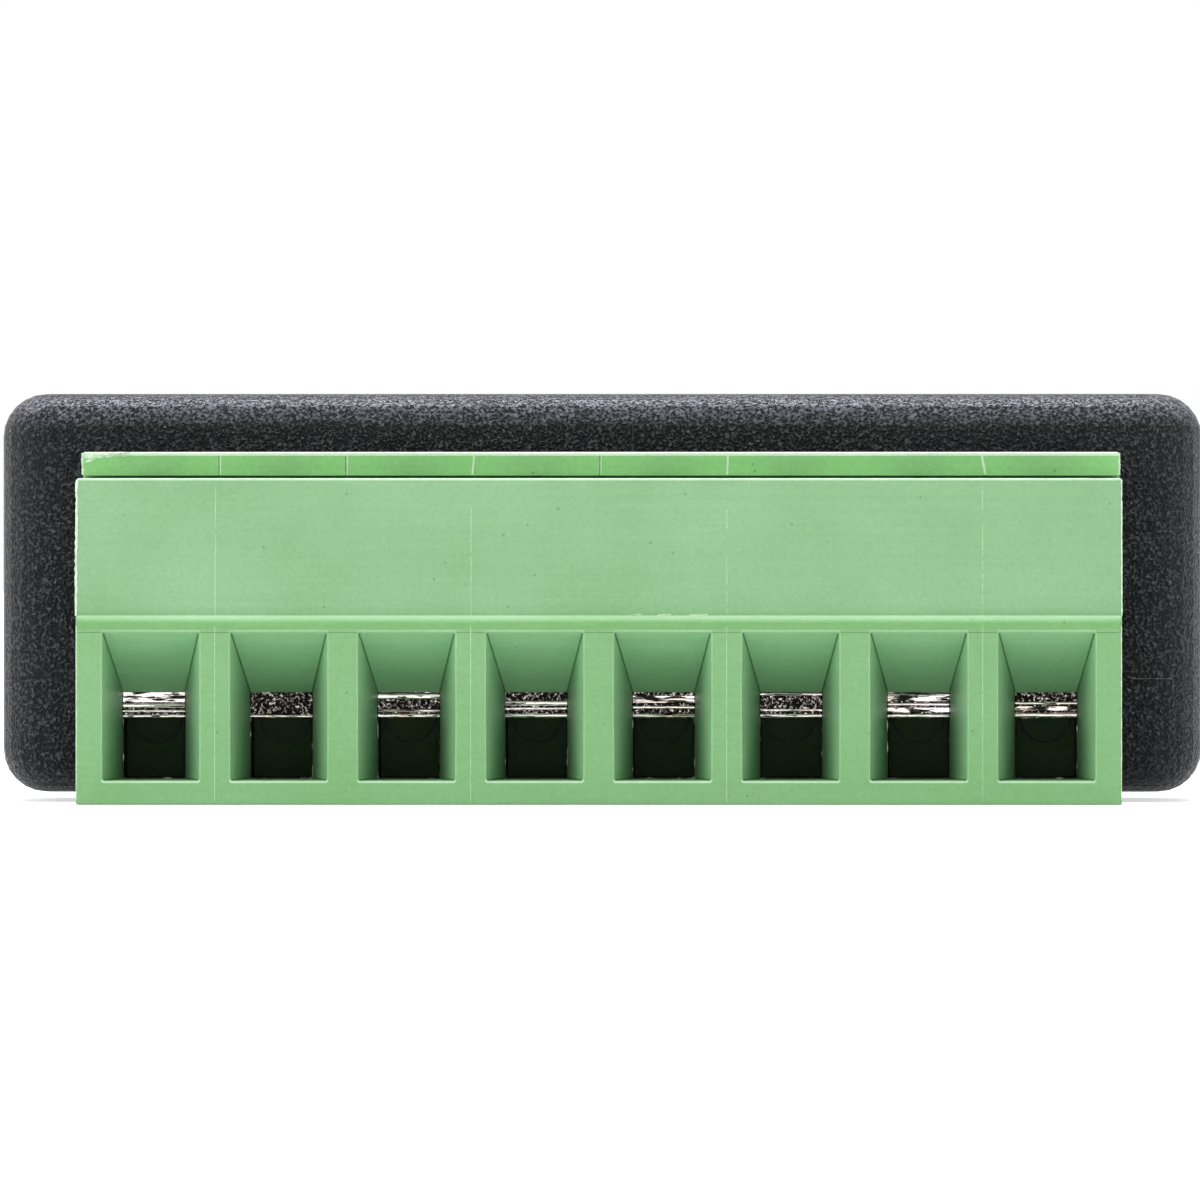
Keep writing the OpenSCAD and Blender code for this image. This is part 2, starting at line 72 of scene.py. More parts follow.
# Terminal plug: a front block with the mouths, a leaning plate on its sill, a deck and a ridge
FRONT = plug_low.y
HALF = plug_high.x
RIDGE = plug_high.z
TONGUE_Y = plug_high.y
SILL = 5.63
DECK = 9.73
LEDGE = 0.5
PLATE_TOP = 1.3
RIDGE_Y = FRONT + 6.75
PLATE_FOOT = (FRONT + LEDGE, SILL)
PLATE_HEAD = (FRONT + PLATE_TOP, DECK - 0.05)

# Wire entries: a row of mouths with lips, the funnels behind them, then tunnels
LIP = 0.68
LIP_RISE = 0.04
MOUTH_W = 2.89
MOUTH_TOP = 5.16
ROW_HALF = 15
FUNNEL = 3.5
FUNNEL_END = FRONT + FUNNEL
TUNNEL_END = FRONT + 7.45
TUNNEL_BACK = FRONT + 7.8
TUNNEL_LOW, TUNNEL_HIGH = 0.45, 3.6

# Contact bars and the layers on their sheared ends
BAR_W = 1.72
BAR_LOW, BAR_HIGH = 2.57, 3.31
BAR_BURR = 0.022
LAYER_HALF = BAR_W / 2 + 0.06
LAYER_ROOT = bar_low.y + 0.03
STRIP_PROUD = 0.04

# Clamp screws
SCREW_AT = (pole_x(1), (screw_low.y + screw_high.y) / 2)
HEAD_R = (screw_high.x - screw_low.x) / 2
HEAD_H = 1.2
SLOT_W, SLOT_D = 0.45, 0.6
CORE_R = 0.62
CORE_LOW = screw_low.z + 0.15
THREAD_LOW = screw_low.z + 0.2
THREAD_ROOT, THREAD_CREST = 0.6, 0.77
THREAD_LEAD, THREAD_TURNS = 0.35, 8

# Case and modular plug
SPLIT_Z = case_low.z + 3.42
PART_GAP = 0.04
MOD_HALF = 5.84

# Light, in shares of white
FLOOR_GLOW = 0.62
AMBIENT = 0.35


# Working on one piece at a time


def only(piece):
    bpy.ops.object.select_all(action="DESELECT")
    piece.select_set(True)
    bpy.context.view_layer.objects.active = piece


def open_mesh(piece, kind="EDGE"):
    only(piece)
    bpy.ops.object.mode_set(mode="EDIT")
    bpy.ops.mesh.select_mode(type=kind)
    bpy.ops.mesh.select_all(action="DESELECT")


def close_mesh():
    bpy.ops.object.mode_set(mode="OBJECT")


def pick(piece, kind, test):
    """In edit mode, selects the verts, edges or faces that pass the test and nothing else."""
    bpy.ops.mesh.select_all(action="DESELECT")
    mesh = bmesh.from_edit_mesh(piece.data)
    for part in getattr(mesh, kind):
        if test(part):
            part.select_set(True)
    mesh.select_flush_mode()
    bmesh.update_edit_mesh(piece.data)


def middle(part):
    """The middle of an edge or a face, in millimetres."""
    return sum((v.co for v in part.verts), Vector()) / len(part.verts) / MM


def is_at(vert, axis, place):
    return abs(vert.co[axis] / MM - place) < NEAR


def lies_on(edge, axis, place):
    """True if both ends of an edge lie on a plane across that axis."""
    return all(is_at(vert, axis, place) for vert in edge.verts)


def reach(edge, axis):
    """How far an edge goes along an axis, in millimetres."""
    return abs(edge.verts[0].co[axis] - edge.verts[1].co[axis]) / MM


def sharp(edge, degrees=20):
    return edge.calc_face_angle(0) > math.radians(degrees)


def named(name):
    piece = bpy.context.active_object
    piece.name = name
    piece.data.name = name
    return piece


def settle(piece):
    """Puts a piece's place, turn and scale into its mesh."""
    only(piece)
    bpy.ops.object.transform_apply(location=True, rotation=True, scale=True)


def add_box(name, low, high):
    low, high = Vector(low) * MM, Vector(high) * MM
    bpy.ops.object.select_all(action="DESELECT")
    bpy.ops.mesh.primitive_cube_add(size=1, location=(low + high) / 2, scale=high - low)
    piece = named(name)
    settle(piece)
    return piece


def add_rod(name, centre, radius, low, high, sides):
    bpy.ops.object.select_all(action="DESELECT")
    bpy.ops.mesh.primitive_cylinder_add(
        vertices=sides,
        radius=radius * MM,
        depth=(high - low) * MM,
        location=(centre[0] * MM, centre[1] * MM, (low + high) / 2 * MM),
    )
    piece = named(name)
    settle(piece)
    return piece


def merged_copy(node, name, cuts=()):
    """A copy of a CAD node's mesh with its loose triangles merged into whole faces.

    Each cut is an axis and a place in millimetres, where the faces are parted into plain panels.
    """
    piece = bpy.data.objects.new(name, nodes[node].data.copy())
    piece.data.name = name
    bpy.context.scene.collection.objects.link(piece)
    piece.data.materials.clear()
    only(piece)
    bpy.ops.mesh.customdata_custom_splitnormals_clear()
    open_mesh(piece)
    bpy.ops.mesh.select_all(action="SELECT")
    bpy.ops.mesh.remove_doubles(threshold=WELD * MM)
    for axis, place in cuts:
        point, across = Vector(), Vector()
        point[axis], across[axis] = place * MM, 1
        bpy.ops.mesh.select_all(action="SELECT")
        bpy.ops.mesh.bisect(plane_co=point, plane_no=across, threshold=WELD * MM)
        bpy.ops.mesh.mark_seam(clear=False)
    bpy.ops.mesh.select_all(action="SELECT")
    bpy.ops.mesh.dissolve_limited(angle_limit=math.radians(0.3), delimit={"SEAM"})
    close_mesh()
    return piece


def copied(piece, name, step):
    """A second piece of the same shape, moved along X by a step in millimetres, with a mesh of its own."""
    twin = piece.copy()
    twin.data = piece.data.copy()
    twin.name = name
    twin.data.name = name
    bpy.context.scene.collection.objects.link(twin)
    twin.location = (step * MM, 0, 0)
    settle(twin)
    return twin


def in_a_row(first, name, step):
    """The numbers and pieces of a row of eight, each but the first copied as its turn comes."""
    yield 1, first
    for number in range(2, 9):
        yield number, copied(first, f"{name}_{number}", step * (number - 1))


def apply_all(piece):
    only(piece)
    for modifier in list(piece.modifiers):
        bpy.ops.object.modifier_apply(modifier=modifier.name)


def cut(piece, tool):
    """Takes the tool's shape out of a piece and puts the tool away."""
    modifier = piece.modifiers.new("cut", "BOOLEAN")
    modifier.operation = "DIFFERENCE"
    modifier.solver = "EXACT"
    modifier.object = tool
    apply_all(piece)
    bpy.data.objects.remove(tool)


def join(name, pieces):
    only(pieces[0])
    for piece in pieces[1:]:
        piece.select_set(True)
    if len(pieces) > 1:
        bpy.ops.object.join()
    return named(name)


def rounded(piece, width, rule, segments=3, finish=-1):
    """Rounds each edge by the share of the width that the rule gives it.

    The rounding keeps the finish of the faces beside it, or gets that of another material slot.
    """
    open_mesh(piece)
    mesh = bmesh.from_edit_mesh(piece.data)
    share = mesh.edges.layers.float.get("bevel_weight_edge")
    if share is None:
        share = mesh.edges.layers.float.new("bevel_weight_edge")
    for edge in mesh.edges:
        edge[share] = rule(edge)
    bmesh.update_edit_mesh(piece.data)
    close_mesh()
    modifier = piece.modifiers.new("rounded", "BEVEL")
    modifier.limit_method = "WEIGHT"
    modifier.width = width * MM
    modifier.segments = segments
    modifier.material = finish
    modifier.use_clamp_overlap = False
    apply_all(piece)


def roughened(offset, seed, uniform=0.0):
    """Moves each selected point at random, by up to the offset in millimetres."""
    bpy.ops.transform.vertex_random(offset=offset * MM, uniform=uniform, normal=0.0, seed=seed)


def smooth(piece, degrees=32):
    """Smooth shading that keeps flat faces flat beside their rounded edges."""
    only(piece)
    bpy.ops.object.shade_smooth_by_angle(angle=math.radians(degrees))
    modifier = piece.modifiers.new("even", "WEIGHTED_NORMAL")
    modifier.mode = "FACE_AREA"
    modifier.weight = 50
    modifier.keep_sharp = True
    apply_all(piece)


def dress(piece, material, slot, body, *stands_for):
    if not piece.data.materials:
        piece.data.materials.append(material)
    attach(piece, body)
    if stands_for:
        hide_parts(*stands_for)


# Shader nodes


def tone(red, green, blue):
    """A colour read as it shows on a screen, from 0 to 255, for a shader."""
    shares = [value / 255 for value in (red, green, blue)]
    return (*(s / 12.92 if s <= 0.04045 else ((s + 0.055) / 1.055) ** 2.4 for s in shares), 1)


def feed(tree, socket, value):
    """Links another node's result to a socket, or sets the socket to a plain value."""
    if isinstance(value, bpy.types.NodeSocket):
        tree.links.new(value, socket)
    else:
        socket.default_value = value


def add_node(tree, kind, links=None, **settings):
    """A shader node with its settings, and what feeds its inputs."""
    made = tree.nodes.new(kind)
    for key, value in settings.items():
        setattr(made, key, value)
    for key, value in (links or {}).items():
        feed(tree, made.inputs[key], value)
    return made


def maths(tree, how, *values):
    return add_node(tree, "ShaderNodeMath", dict(enumerate(values)), operation=how).outputs[0]


def along_axis(tree, place, axis):
    """A place's distance from the origin along X, Y or Z, in metres."""
    return add_node(tree, "ShaderNodeSeparateXYZ", {"Vector": place}).outputs[axis]


def clouded(tree, place, scale, detail=3.0):
    noise = add_node(tree, "ShaderNodeTexNoise", {"Vector": place, "Scale": scale, "Detail": detail})
    return noise.outputs["Fac"]


def mixed(tree, factor, first, second):
    """A colour between two others."""
    return add_node(tree, "ShaderNodeMix", {0: factor, 6: first, 7: second}, data_type="RGBA").outputs[2]


def ranged(tree, value, low, high, start=0.0, stop=1.0):
    """A value that goes from low to high while another goes from start to stop."""
    links = {"Value": value, "From Min": start, "From Max": stop, "To Min": low, "To Max": high}
    return add_node(tree, "ShaderNodeMapRange", links).outputs["Result"]


def bumped(tree, surface, height, distance, strength):
    links = {"Height": height, "Distance": distance * MM, "Strength": strength}
    feed(tree, surface.inputs["Normal"], add_node(tree, "ShaderNodeBump", links).outputs["Normal"])


def painted(tree, surface, colour, rough, metal=0.0):
    feed(tree, surface.inputs["Base Color"], colour)
    feed(tree, surface.inputs["Roughness"], rough)
    surface.inputs["Metallic"].default_value = metal


# Effects that several materials share


def new_group(name, inputs, outputs):
    """A node group that takes a place and the values given, and puts out values."""
    tree = bpy.data.node_groups.new(name, "ShaderNodeTree")
    tree.interface.new_socket("Vector", in_out="INPUT", socket_type="NodeSocketVector")
    for label, value in inputs.items():
        socket = tree.interface.new_socket(label, in_out="INPUT", socket_type="NodeSocketFloat")
        socket.default_value = value
    for label in outputs:
        tree.interface.new_socket(label, in_out="OUTPUT", socket_type="NodeSocketFloat")
    return tree, tree.nodes.new("NodeGroupInput").outputs, tree.nodes.new("NodeGroupOutput").inputs


def make_grain():
    """Fine moulded texture: a height and the same as a mask."""
    tree, given, result = new_group("moulded_grain", {"Scale": 5000, "Roughness": 0.5}, ("Height", "Mask"))
    links = {key: given[key] for key in ("Vector", "Scale", "Roughness")}
    noise = add_node(tree, "ShaderNodeTexNoise", {**links, "Detail": 2.5, "Distortion": 0.6}).outputs["Fac"]
    feed(tree, result["Height"], noise)
    feed(tree, result["Mask"], ranged(tree, noise, 0.0, 1.0, 0.35, 0.7))
    return tree


def make_specks():
    """Sparse round specks, one in some of the cells of an uneven pattern."""
    tree, given, result = new_group("specks", {"Scale": 900, "Size": 0.05, "Share": 0.3}, ("Mask",))
    links = {key: given[key] for key in ("Vector", "Scale")}
    cells = add_node(tree, "ShaderNodeTexVoronoi", links).outputs
    lot = add_node(tree, "ShaderNodeSeparateColor", {"Color": cells["Color"]}).outputs["Red"]
    dot = maths(tree, "LESS_THAN", cells["Distance"], given["Size"])
    chosen = maths(tree, "LESS_THAN", lot, given["Share"])
    feed(tree, result["Mask"], maths(tree, "MULTIPLY", dot, chosen))
    return tree


def make_streaks():
    """Lines drawn out along X and stacked along Z, from 0 to 1."""
    values = {"Along": 150, "Across": 6000, "Low": 0.35, "High": 0.65}
    tree, given, result = new_group("streaks", values, ("Mask",))
    links = {"X": given["Along"], "Y": given["Along"], "Z": given["Across"]}
    stretch = add_node(tree, "ShaderNodeCombineXYZ", links).outputs[0]
    drawn = add_node(tree, "ShaderNodeVectorMath", {0: given["Vector"], 1: stretch}, operation="MULTIPLY")
    links = {"Vector": drawn.outputs[0], "Scale": 1.0, "Detail": 3.0, "Roughness": 0.6}
    noise = add_node(tree, "ShaderNodeTexNoise", links).outputs["Fac"]
    feed(tree, result["Mask"], ranged(tree, noise, 0.0, 1.0, given["Low"], given["High"]))
    return tree


GRAIN = make_grain()
SPECKS = make_specks()
STREAKS = make_streaks()


def grained(tree, place, scale, rough):
    links = {"Vector": place, "Scale": scale, "Roughness": rough}
    return add_node(tree, "ShaderNodeGroup", links, node_tree=GRAIN).outputs


def specked(tree, place, scale, size, share):
    links = {"Vector": place, "Scale": scale, "Size": size, "Share": share}
    return add_node(tree, "ShaderNodeGroup", links, node_tree=SPECKS).outputs["Mask"]


def streaked(tree, place, along, across, low=0.3, high=0.7):
    links = {"Vector": place, "Along": along, "Across": across, "Low": low, "High": high}
    return add_node(tree, "ShaderNodeGroup", links, node_tree=STREAKS).outputs["Mask"]


# Materials


def new_material(name):
    material = bpy.data.materials.new(name)
    material.use_nodes = True
    tree = material.node_tree
    tree.nodes.clear()
    surface = tree.nodes.new("ShaderNodeBsdfPrincipled")
    output = tree.nodes.new("ShaderNodeOutputMaterial")
    tree.links.new(surface.outputs["BSDF"], output.inputs["Surface"])
    place = tree.nodes.new("ShaderNodeTexCoord").outputs["Object"]
    return material, tree, surface, place


def zone_mask(tree, place, limits):
    """A mask of what lies between the limits along X, Y and Z."""
    mask = None
    for axis, (low, high) in zip("XYZ", limits):
        value = along_axis(tree, place, axis)
        past = maths(tree, "GREATER_THAN", value, low * MM)
        short = maths(tree, "LESS_THAN", value, high * MM)
        within = maths(tree, "MULTIPLY", past, short)
        mask = within if mask is None else maths(tree, "MULTIPLY", mask, within)
    return mask


def moulded_green(name, pale, deep, speck, rough, painted_zones=(), inward_shade=None, shine=0.5):
    """Filled nylon: soft clouds of two greens, faint flow lines, sparse dark specks and a fine grain.

    Each zone of painted light or shade is a range along X, Y and Z in millimetres, a second colour there
    and how much of it.
    A colour of painted shade, if given, takes over step by step from the mouths of the funnels to their
    ends.
    """
    material, tree, surface, place = new_material(name)
    speck = tone(*speck)
    grain = grained(tree, place, 8000.0, 0.6)
    clouds = ranged(tree, clouded(tree, place, 260.0, 2.0), 0.0, 1.0, 0.3, 0.7)
    shade = mixed(tree, clouds, tone(*pale), tone(*deep))
    for limits, colour, share in painted_zones:
        shade = mixed(tree, ranged(tree, zone_mask(tree, place, limits), 0.0, share), shade, tone(*colour))
    # Painted shade, deeper from the mouths of the funnels to their ends
    if inward_shade:
        depth = along_axis(tree, place, "Y")
        taken = ranged(tree, depth, 0.0, 1.0, (FRONT + 0.2) * MM, FUNNEL_END * MM)
        shade = mixed(tree, taken, shade, tone(*inward_shade))
    shade = mixed(tree, ranged(tree, streaked(tree, place, 130.0, 5200.0), 0.0, 0.08), shade, speck)
    shade = mixed(tree, ranged(tree, grain["Mask"], 0.12, 0.0), shade, speck)
    shade = mixed(tree, ranged(tree, specked(tree, place, 1400.0, 0.055, 0.6), 0.0, 0.42), shade, speck)
    painted(tree, surface, shade, ranged(tree, grain["Mask"], rough - 0.05, rough + 0.08))
    surface.inputs["IOR"].default_value = 1.46
    surface.inputs["Specular IOR Level"].default_value = shine
    bumped(tree, surface, grain["Height"], 0.016, 0.8)
    return material


def grained_black():
    """Black plastic with a fine leather-like grain whose tips are painted pale as painted glints, pale
    dusty specks that are painted glints as well, and a painted highlight along the top edge of the case.
    """
    material, tree, surface, place = new_material("case_black_grain")
    leather = grained(tree, place, 10000.0, 0.4)
    fine = grained(tree, place, 24000.0, 0.5)
    # The grain's tips are painted pale grey: painted glints of light on the grain
    tips = ranged(tree, leather["Mask"], 0.0, 1.0, 0.4, 1.0)
    tint = mixed(tree, tips, tone(3, 4, 3), tone(88, 90, 92))
    worn = ranged(tree, clouded(tree, place, 240.0), 0.0, 0.25, 0.45, 0.7)
    tint = mixed(tree, worn, tint, tone(40, 40, 44))
    # A painted highlight: a pale band along the top edge of the case, broken up by the grain
    height = along_axis(tree, place, "Z")
    rise = ranged(tree, height, 0.0, 1.0, (case_high.z - 1.0) * MM, (case_high.z - 0.35) * MM)
    fall = ranged(tree, height, 1.0, 0.1, (case_high.z - 0.12) * MM, (case_high.z - 0.01) * MM)
    edge = maths(tree, "MULTIPLY", rise, fall)
    painted_highlight = maths(tree, "MULTIPLY", edge, ranged(tree, leather["Mask"], 0.0, 1.0, 0.15, 0.8))
    tint = mixed(tree, painted_highlight, tint, tone(146, 147, 160))
    # Pale specks: dust, and painted glints as well
    dust_and_glints = ranged(tree, specked(tree, place, 2400.0, 0.08, 0.7), 0.0, 0.45)
    tint = mixed(tree, dust_and_glints, tint, tone(160, 162, 168))
    painted(tree, surface, tint, ranged(tree, leather["Mask"], 0.42, 0.24))
    surface.inputs["Specular IOR Level"].default_value = 0.2
    surface.inputs["Specular Tint"].default_value = (0.88, 0.91, 1.0, 1)
    bumped(tree, surface, maths(tree, "MULTIPLY_ADD", fine["Height"], 0.35, leather["Mask"]), 0.11, 1.0)
    return material


def scuffed_grey():
    """Pale grey where black plastic is scuffed, broken up by its grain."""
    material, tree, surface, place = new_material("case_scuff_grey")
    breaks = grained(tree, place, 5200.0, 0.5)
    grey = mixed(tree, breaks["Mask"], tone(52, 52, 54), tone(132, 132, 134))
    painted(tree, surface, grey, ranged(tree, breaks["Mask"], 0.6, 0.45))
    bumped(tree, surface, breaks["Height"], 0.01, 0.6)
    return material


def smeared_tin(name, gap_low, gap_high):
    """Tin smeared over the sheared end of a bar: warm white with fine dark lines and gaps along it."""
    material, tree, surface, place = new_material(name)
    zone = ranged(tree, clouded(tree, place, 900.0, 2.0), 0.0, 1.0, 0.4, 0.65)
    warm = mixed(tree, zone, tone(255, 243, 245), tone(240, 218, 210))
    lines = streaked(tree, place, 500.0, 15000.0, 0.3, 0.42)
    cracks = streaked(tree, place, 1700.0, 11500.0, gap_low, gap_high)
    whole = maths(tree, "MULTIPLY", lines, cracks)
    painted(tree, surface, mixed(tree, whole, tone(34, 31, 28), warm), ranged(tree, whole, 0.45, 0.24), 1.0)
    bumped(tree, surface, whole, 0.02, 0.8)
    return material


def pitted_tin():
    """Torn metal between the smeared layers: dark, with bright flecks."""
    material, tree, surface, place = new_material("contact_tin_torn")
    pits = grained(tree, place, 11500.0, 0.7)["Mask"]
    fleck = ranged(tree, pits, 0.0, 1.0, 0.52, 0.9)
    metal = mixed(tree, fleck, tone(26, 22, 21), tone(232, 216, 215))
    painted(tree, surface, metal, ranged(tree, fleck, 0.5, 0.22), 1.0)
    bumped(tree, surface, pits, 0.014, 0.7)
    return material


def shaded_nickel():
    """Dull nickel sheet, painted dark as painted shade, with fine lines, and bright only in patches as
    painted glints.
    """
    material, tree, surface, place = new_material("cage_nickel_painted_shade")
    shine = ranged(tree, clouded(tree, place, 2300.0), 0.0, 1.0, 0.56, 0.68)
    lines = streaked(tree, place, 900.0, 9000.0)
    # Painted shade: the sheet's dark tones stand for the shade deep in the plug
    dull = mixed(tree, lines, tone(48, 46, 42), tone(66, 63, 58))
    # Bright patches: painted glints
    nickel = mixed(tree, shine, dull, tone(205, 200, 190))
    painted(tree, surface, nickel, ranged(tree, lines, 0.36, 0.5), 1.0)
    bumped(tree, surface, lines, 0.005, 0.5)
    return material


def plated(name, bright, dull, rough, along, across):
    """Plated sheet or wire with fine drawing lines and a few stains."""
    material, tree, surface, place = new_material(name)
    bright, dull = tone(*bright), tone(*dull)
    lines = streaked(tree, place, along, across)
    stains = ranged(tree, clouded(tree, place, 900.0), 0.0, 0.8, 0.5, 0.75)
    metal = mixed(tree, ranged(tree, lines, 0.0, 0.2), mixed(tree, stains, bright, dull), dull)
    painted(tree, surface, metal, ranged(tree, lines, rough - 0.06, rough + 0.1), 1.0)
    bumped(tree, surface, lines, 0.004, 0.5)
    return material


def clear_plastic():
    """Clear polycarbonate with a faint flow haze."""
    material, tree, surface, place = new_material("clear_polycarbonate")
    haze = clouded(tree, place, 300.0)
    tint = mixed(tree, haze, tone(216, 224, 226), tone(198, 208, 211))
    painted(tree, surface, tint, ranged(tree, haze, 0.05, 0.16, 0.35, 0.7))
    surface.inputs["Transmission Weight"].default_value = 0.85
    surface.inputs["IOR"].default_value = 1.58
    bumped(tree, surface, grained(tree, place, 2500.0, 0.4)["Height"], 0.004, 0.3)
    return material


def solder_mask():
    """Green lacquer over copper tracks that run towards the modular plug."""
    material, tree, surface, place = new_material("board_solder_mask")
    lanes = maths(tree, "PINGPONG", along_axis(tree, place, "X"), WAY_PITCH * MM)
    track = maths(tree, "LESS_THAN", lanes, 0.18 * MM)
    clouds = clouded(tree, place, 400.0)
    lacquer = mixed(tree, clouds, tone(30, 92, 48), tone(38, 108, 58))
    colour = mixed(tree, ranged(tree, track, 0.0, 0.6), lacquer, tone(66, 140, 78))
    painted(tree, surface, colour, ranged(tree, clouds, 0.25, 0.4))
    bumped(tree, surface, track, 0.02, 0.5)
    return material


# Ranges of painted light and shade on the plug, which reach past its ends where no end is meant
ALL_X = (-20, 20)
FUNNELS_X = (-ROW_HALF, ROW_HALF)
BEFORE = FRONT - 1
PLUG_PAINTED_LIGHT = (
    # Front block, deeper in colour than the plate: painted shade, as the leaning plate catches more of the
    # top light
    ((ALL_X, (BEFORE, FRONT + 0.32), (-1, SILL + 0.01)), (134, 193, 123), 0.6),
    # Band above the mouths, deeper still: painted shade on the lower part of the sill's rounding
    ((ALL_X, (BEFORE, FRONT + 0.1), (MOUTH_TOP + 0.07, SILL - 0.19)), (125, 184, 109), 0.7),
    # Funnels, painted paler: painted light from below, which their insides lack
    ((FUNNELS_X, (FRONT + 0.05, FUNNEL_END + 0.05), (LIP, MOUTH_TOP + 0.02)), (164, 219, 166), 0.75),
    # Ridge, painted paler and greener: painted light for the shade and the green bounce of the deck in
    # front of it
    ((ALL_X, (RIDGE_Y - 0.02, RIDGE_Y + 0.06), (DECK + 0.05, RIDGE + 1)), (158, 224, 142), 0.85),
)

# Greens by their pale and deep tones, the tone of their specks and their roughness
SPECK = (62, 96, 62)
PLUG_GREEN = moulded_green("plug_nylon_green", (155, 202, 153), (144, 192, 138), SPECK, 0.42, PLUG_PAINTED_LIGHT)
# Pale green on rounded edges: a painted highlight
EDGE_HIGHLIGHT_GREEN = moulded_green("plug_edge_painted_highlight", (206, 240, 202), (194, 233, 188), (150, 190, 146), 0.34)
# A paler green: the fainter part of the painted highlight on edges
RIM_HIGHLIGHT_GREEN = moulded_green("plug_rim_painted_highlight", (170, 216, 163), (158, 206, 150), (110, 150, 106), 0.38)
# Dark green for creases and dark lines: painted shade
CREASE_SHADE_GREEN = moulded_green("plug_crease_painted_shade", (96, 138, 94), (84, 124, 80), (52, 80, 52), 0.5)
# Wire tunnels: a darker green as painted shade deep in the plug
SHADED_TUNNEL_GREEN = moulded_green(
    "plug_tunnel_painted_shade", (104, 138, 94), (88, 120, 80), (40, 58, 36), 0.6, shine=0.16
)
# Funnel side walls: paler as painted light, and darker inward as painted shade
SIDE_GREEN = moulded_green(
    "plug_funnel_side_painted_light", (162, 216, 163), (153, 206, 153), SPECK, 0.46, inward_shade=(130, 166, 132)
)
# Dark green for the rings in the tunnels: painted shade
MARK_SHADE_GREEN = moulded_green("plug_mark_painted_shade", (62, 80, 58), (48, 64, 45), (20, 30, 19), 0.45)
HEADER_GREEN = moulded_green("header_nylon_green", (146, 196, 140), (130, 182, 122), SPECK, 0.4)
FLASH_GREEN = moulded_green("flash_nylon_green", (184, 227, 180), (168, 214, 162), (120, 162, 116), 0.34)
# Near-white green for thin flash, and for the painted highlight on the ridge's top edge
THIN_FLASH_AND_HIGHLIGHT = moulded_green("thin_flash_and_highlight_green", (236, 252, 230), (218, 243, 210), (160, 196, 152), 0.3)
CASE_BLACK = grained_black()
SCUFF_GREY = scuffed_grey()
BAR_TIN = plated("contact_tin", (226, 221, 212), (172, 166, 154), 0.28, 420.0, 7800.0)
STRIP_TIN = smeared_tin("contact_tin_strip", 0.33, 0.4)
RAGGED_TIN = smeared_tin("contact_tin_ragged", 0.42, 0.5)
TORN_TIN = pitted_tin()
CAGE_METAL = shaded_nickel()
SCREW_STEEL = plated("screw_zinc", (214, 214, 210), (160, 160, 156), 0.3, 1500.0, 5000.0)
# Dark plating for the screw's slot: painted shade
SLOT_SHADE_STEEL = plated("screw_slot_painted_shade", (92, 91, 88), (52, 51, 49), 0.5, 1500.0, 5000.0)
PIN_TIN = plated("pin_tin", (214, 208, 196), (168, 162, 150), 0.28, 700.0, 7000.0)
BLADE_GOLD = plated("blade_gold", (222, 184, 98), (190, 146, 66), 0.24, 900.0, 6000.0)
CLEAR = clear_plastic()
BOARD = solder_mask()

# The plug's finishes, painted highlights and shade among them, in the order of its material slots
PLUG_FINISHES = (PLUG_GREEN, EDGE_HIGHLIGHT_GREEN, CREASE_SHADE_GREEN, RIM_HIGHLIGHT_GREEN, SHADED_TUNNEL_GREEN, THIN_FLASH_AND_HIGHLIGHT, SIDE_GREEN)
PLAIN, EDGE, CREASE, RIM, TUNNEL, THIN, SIDE = range(len(PLUG_FINISHES))


# Terminal plug


def on_outline(edge):
    """True for the edges at the plug's ends and along its underside."""
    return lies_on(edge, 0, HALF) or lies_on(edge, 0, -HALF) or lies_on(edge, 2, 0)


def funnel_crease(edge):
    """The corners inside the funnels, which get a fine dark line of painted shade."""
    place = middle(edge)
    inside = abs(reach(edge, 1) - FUNNEL) < 0.05 and place.y < FUNNEL_END and abs(place.x) < ROW_HALF
    return 1.0 if inside and sharp(edge) else 0


def bright_edge(edge):
    """The plug's crisp edges, which get a painted highlight: ridge, plate, lips, mouths and holes."""
    if not sharp(edge):
        return 0
    if lies_on(edge, 1, FRONT):
        if on_outline(edge) or lies_on(edge, 2, SILL):
            return 0
        return 0.58 if middle(edge).z < LIP + 0.1 else 0.38
    if lies_on(edge, 2, DECK) and lies_on(edge, 1, FRONT + PLATE_TOP):
        return 0.58
    if lies_on(edge, 2, RIDGE) and lies_on(edge, 1, RIDGE_Y):
        return 1.0
    return 0.23 if lies_on(edge, 1, FUNNEL_END) and not on_outline(edge) else 0


def soft_edge(edge):
    """The plug's other outer edges."""
    if not sharp(edge):
        return 0
    if lies_on(edge, 1, FRONT):
        return 1.0 if lies_on(edge, 2, SILL) else 0.25 if on_outline(edge) else 0
    if lies_on(edge, 2, RIDGE):
        return 0 if lies_on(edge, 1, RIDGE_Y) else 0.3
    if lies_on(edge, 2, SILL) and lies_on(edge, 1, FRONT + LEDGE):
        return 0.1
    if lies_on(edge, 2, DECK) and middle(edge).y < RIDGE_Y - 0.02:
        return 0.1
    return 0.2 if on_outline(edge) or lies_on(edge, 1, TONGUE_Y) else 0


def on_lip(vert):
    beside = min(abs(vert.co.x / MM - pole_x(pole)) for pole in POLES)
    return is_at(vert, 1, FRONT) and is_at(vert, 2, LIP) and beside < MOUTH_W / 2 + 0.01


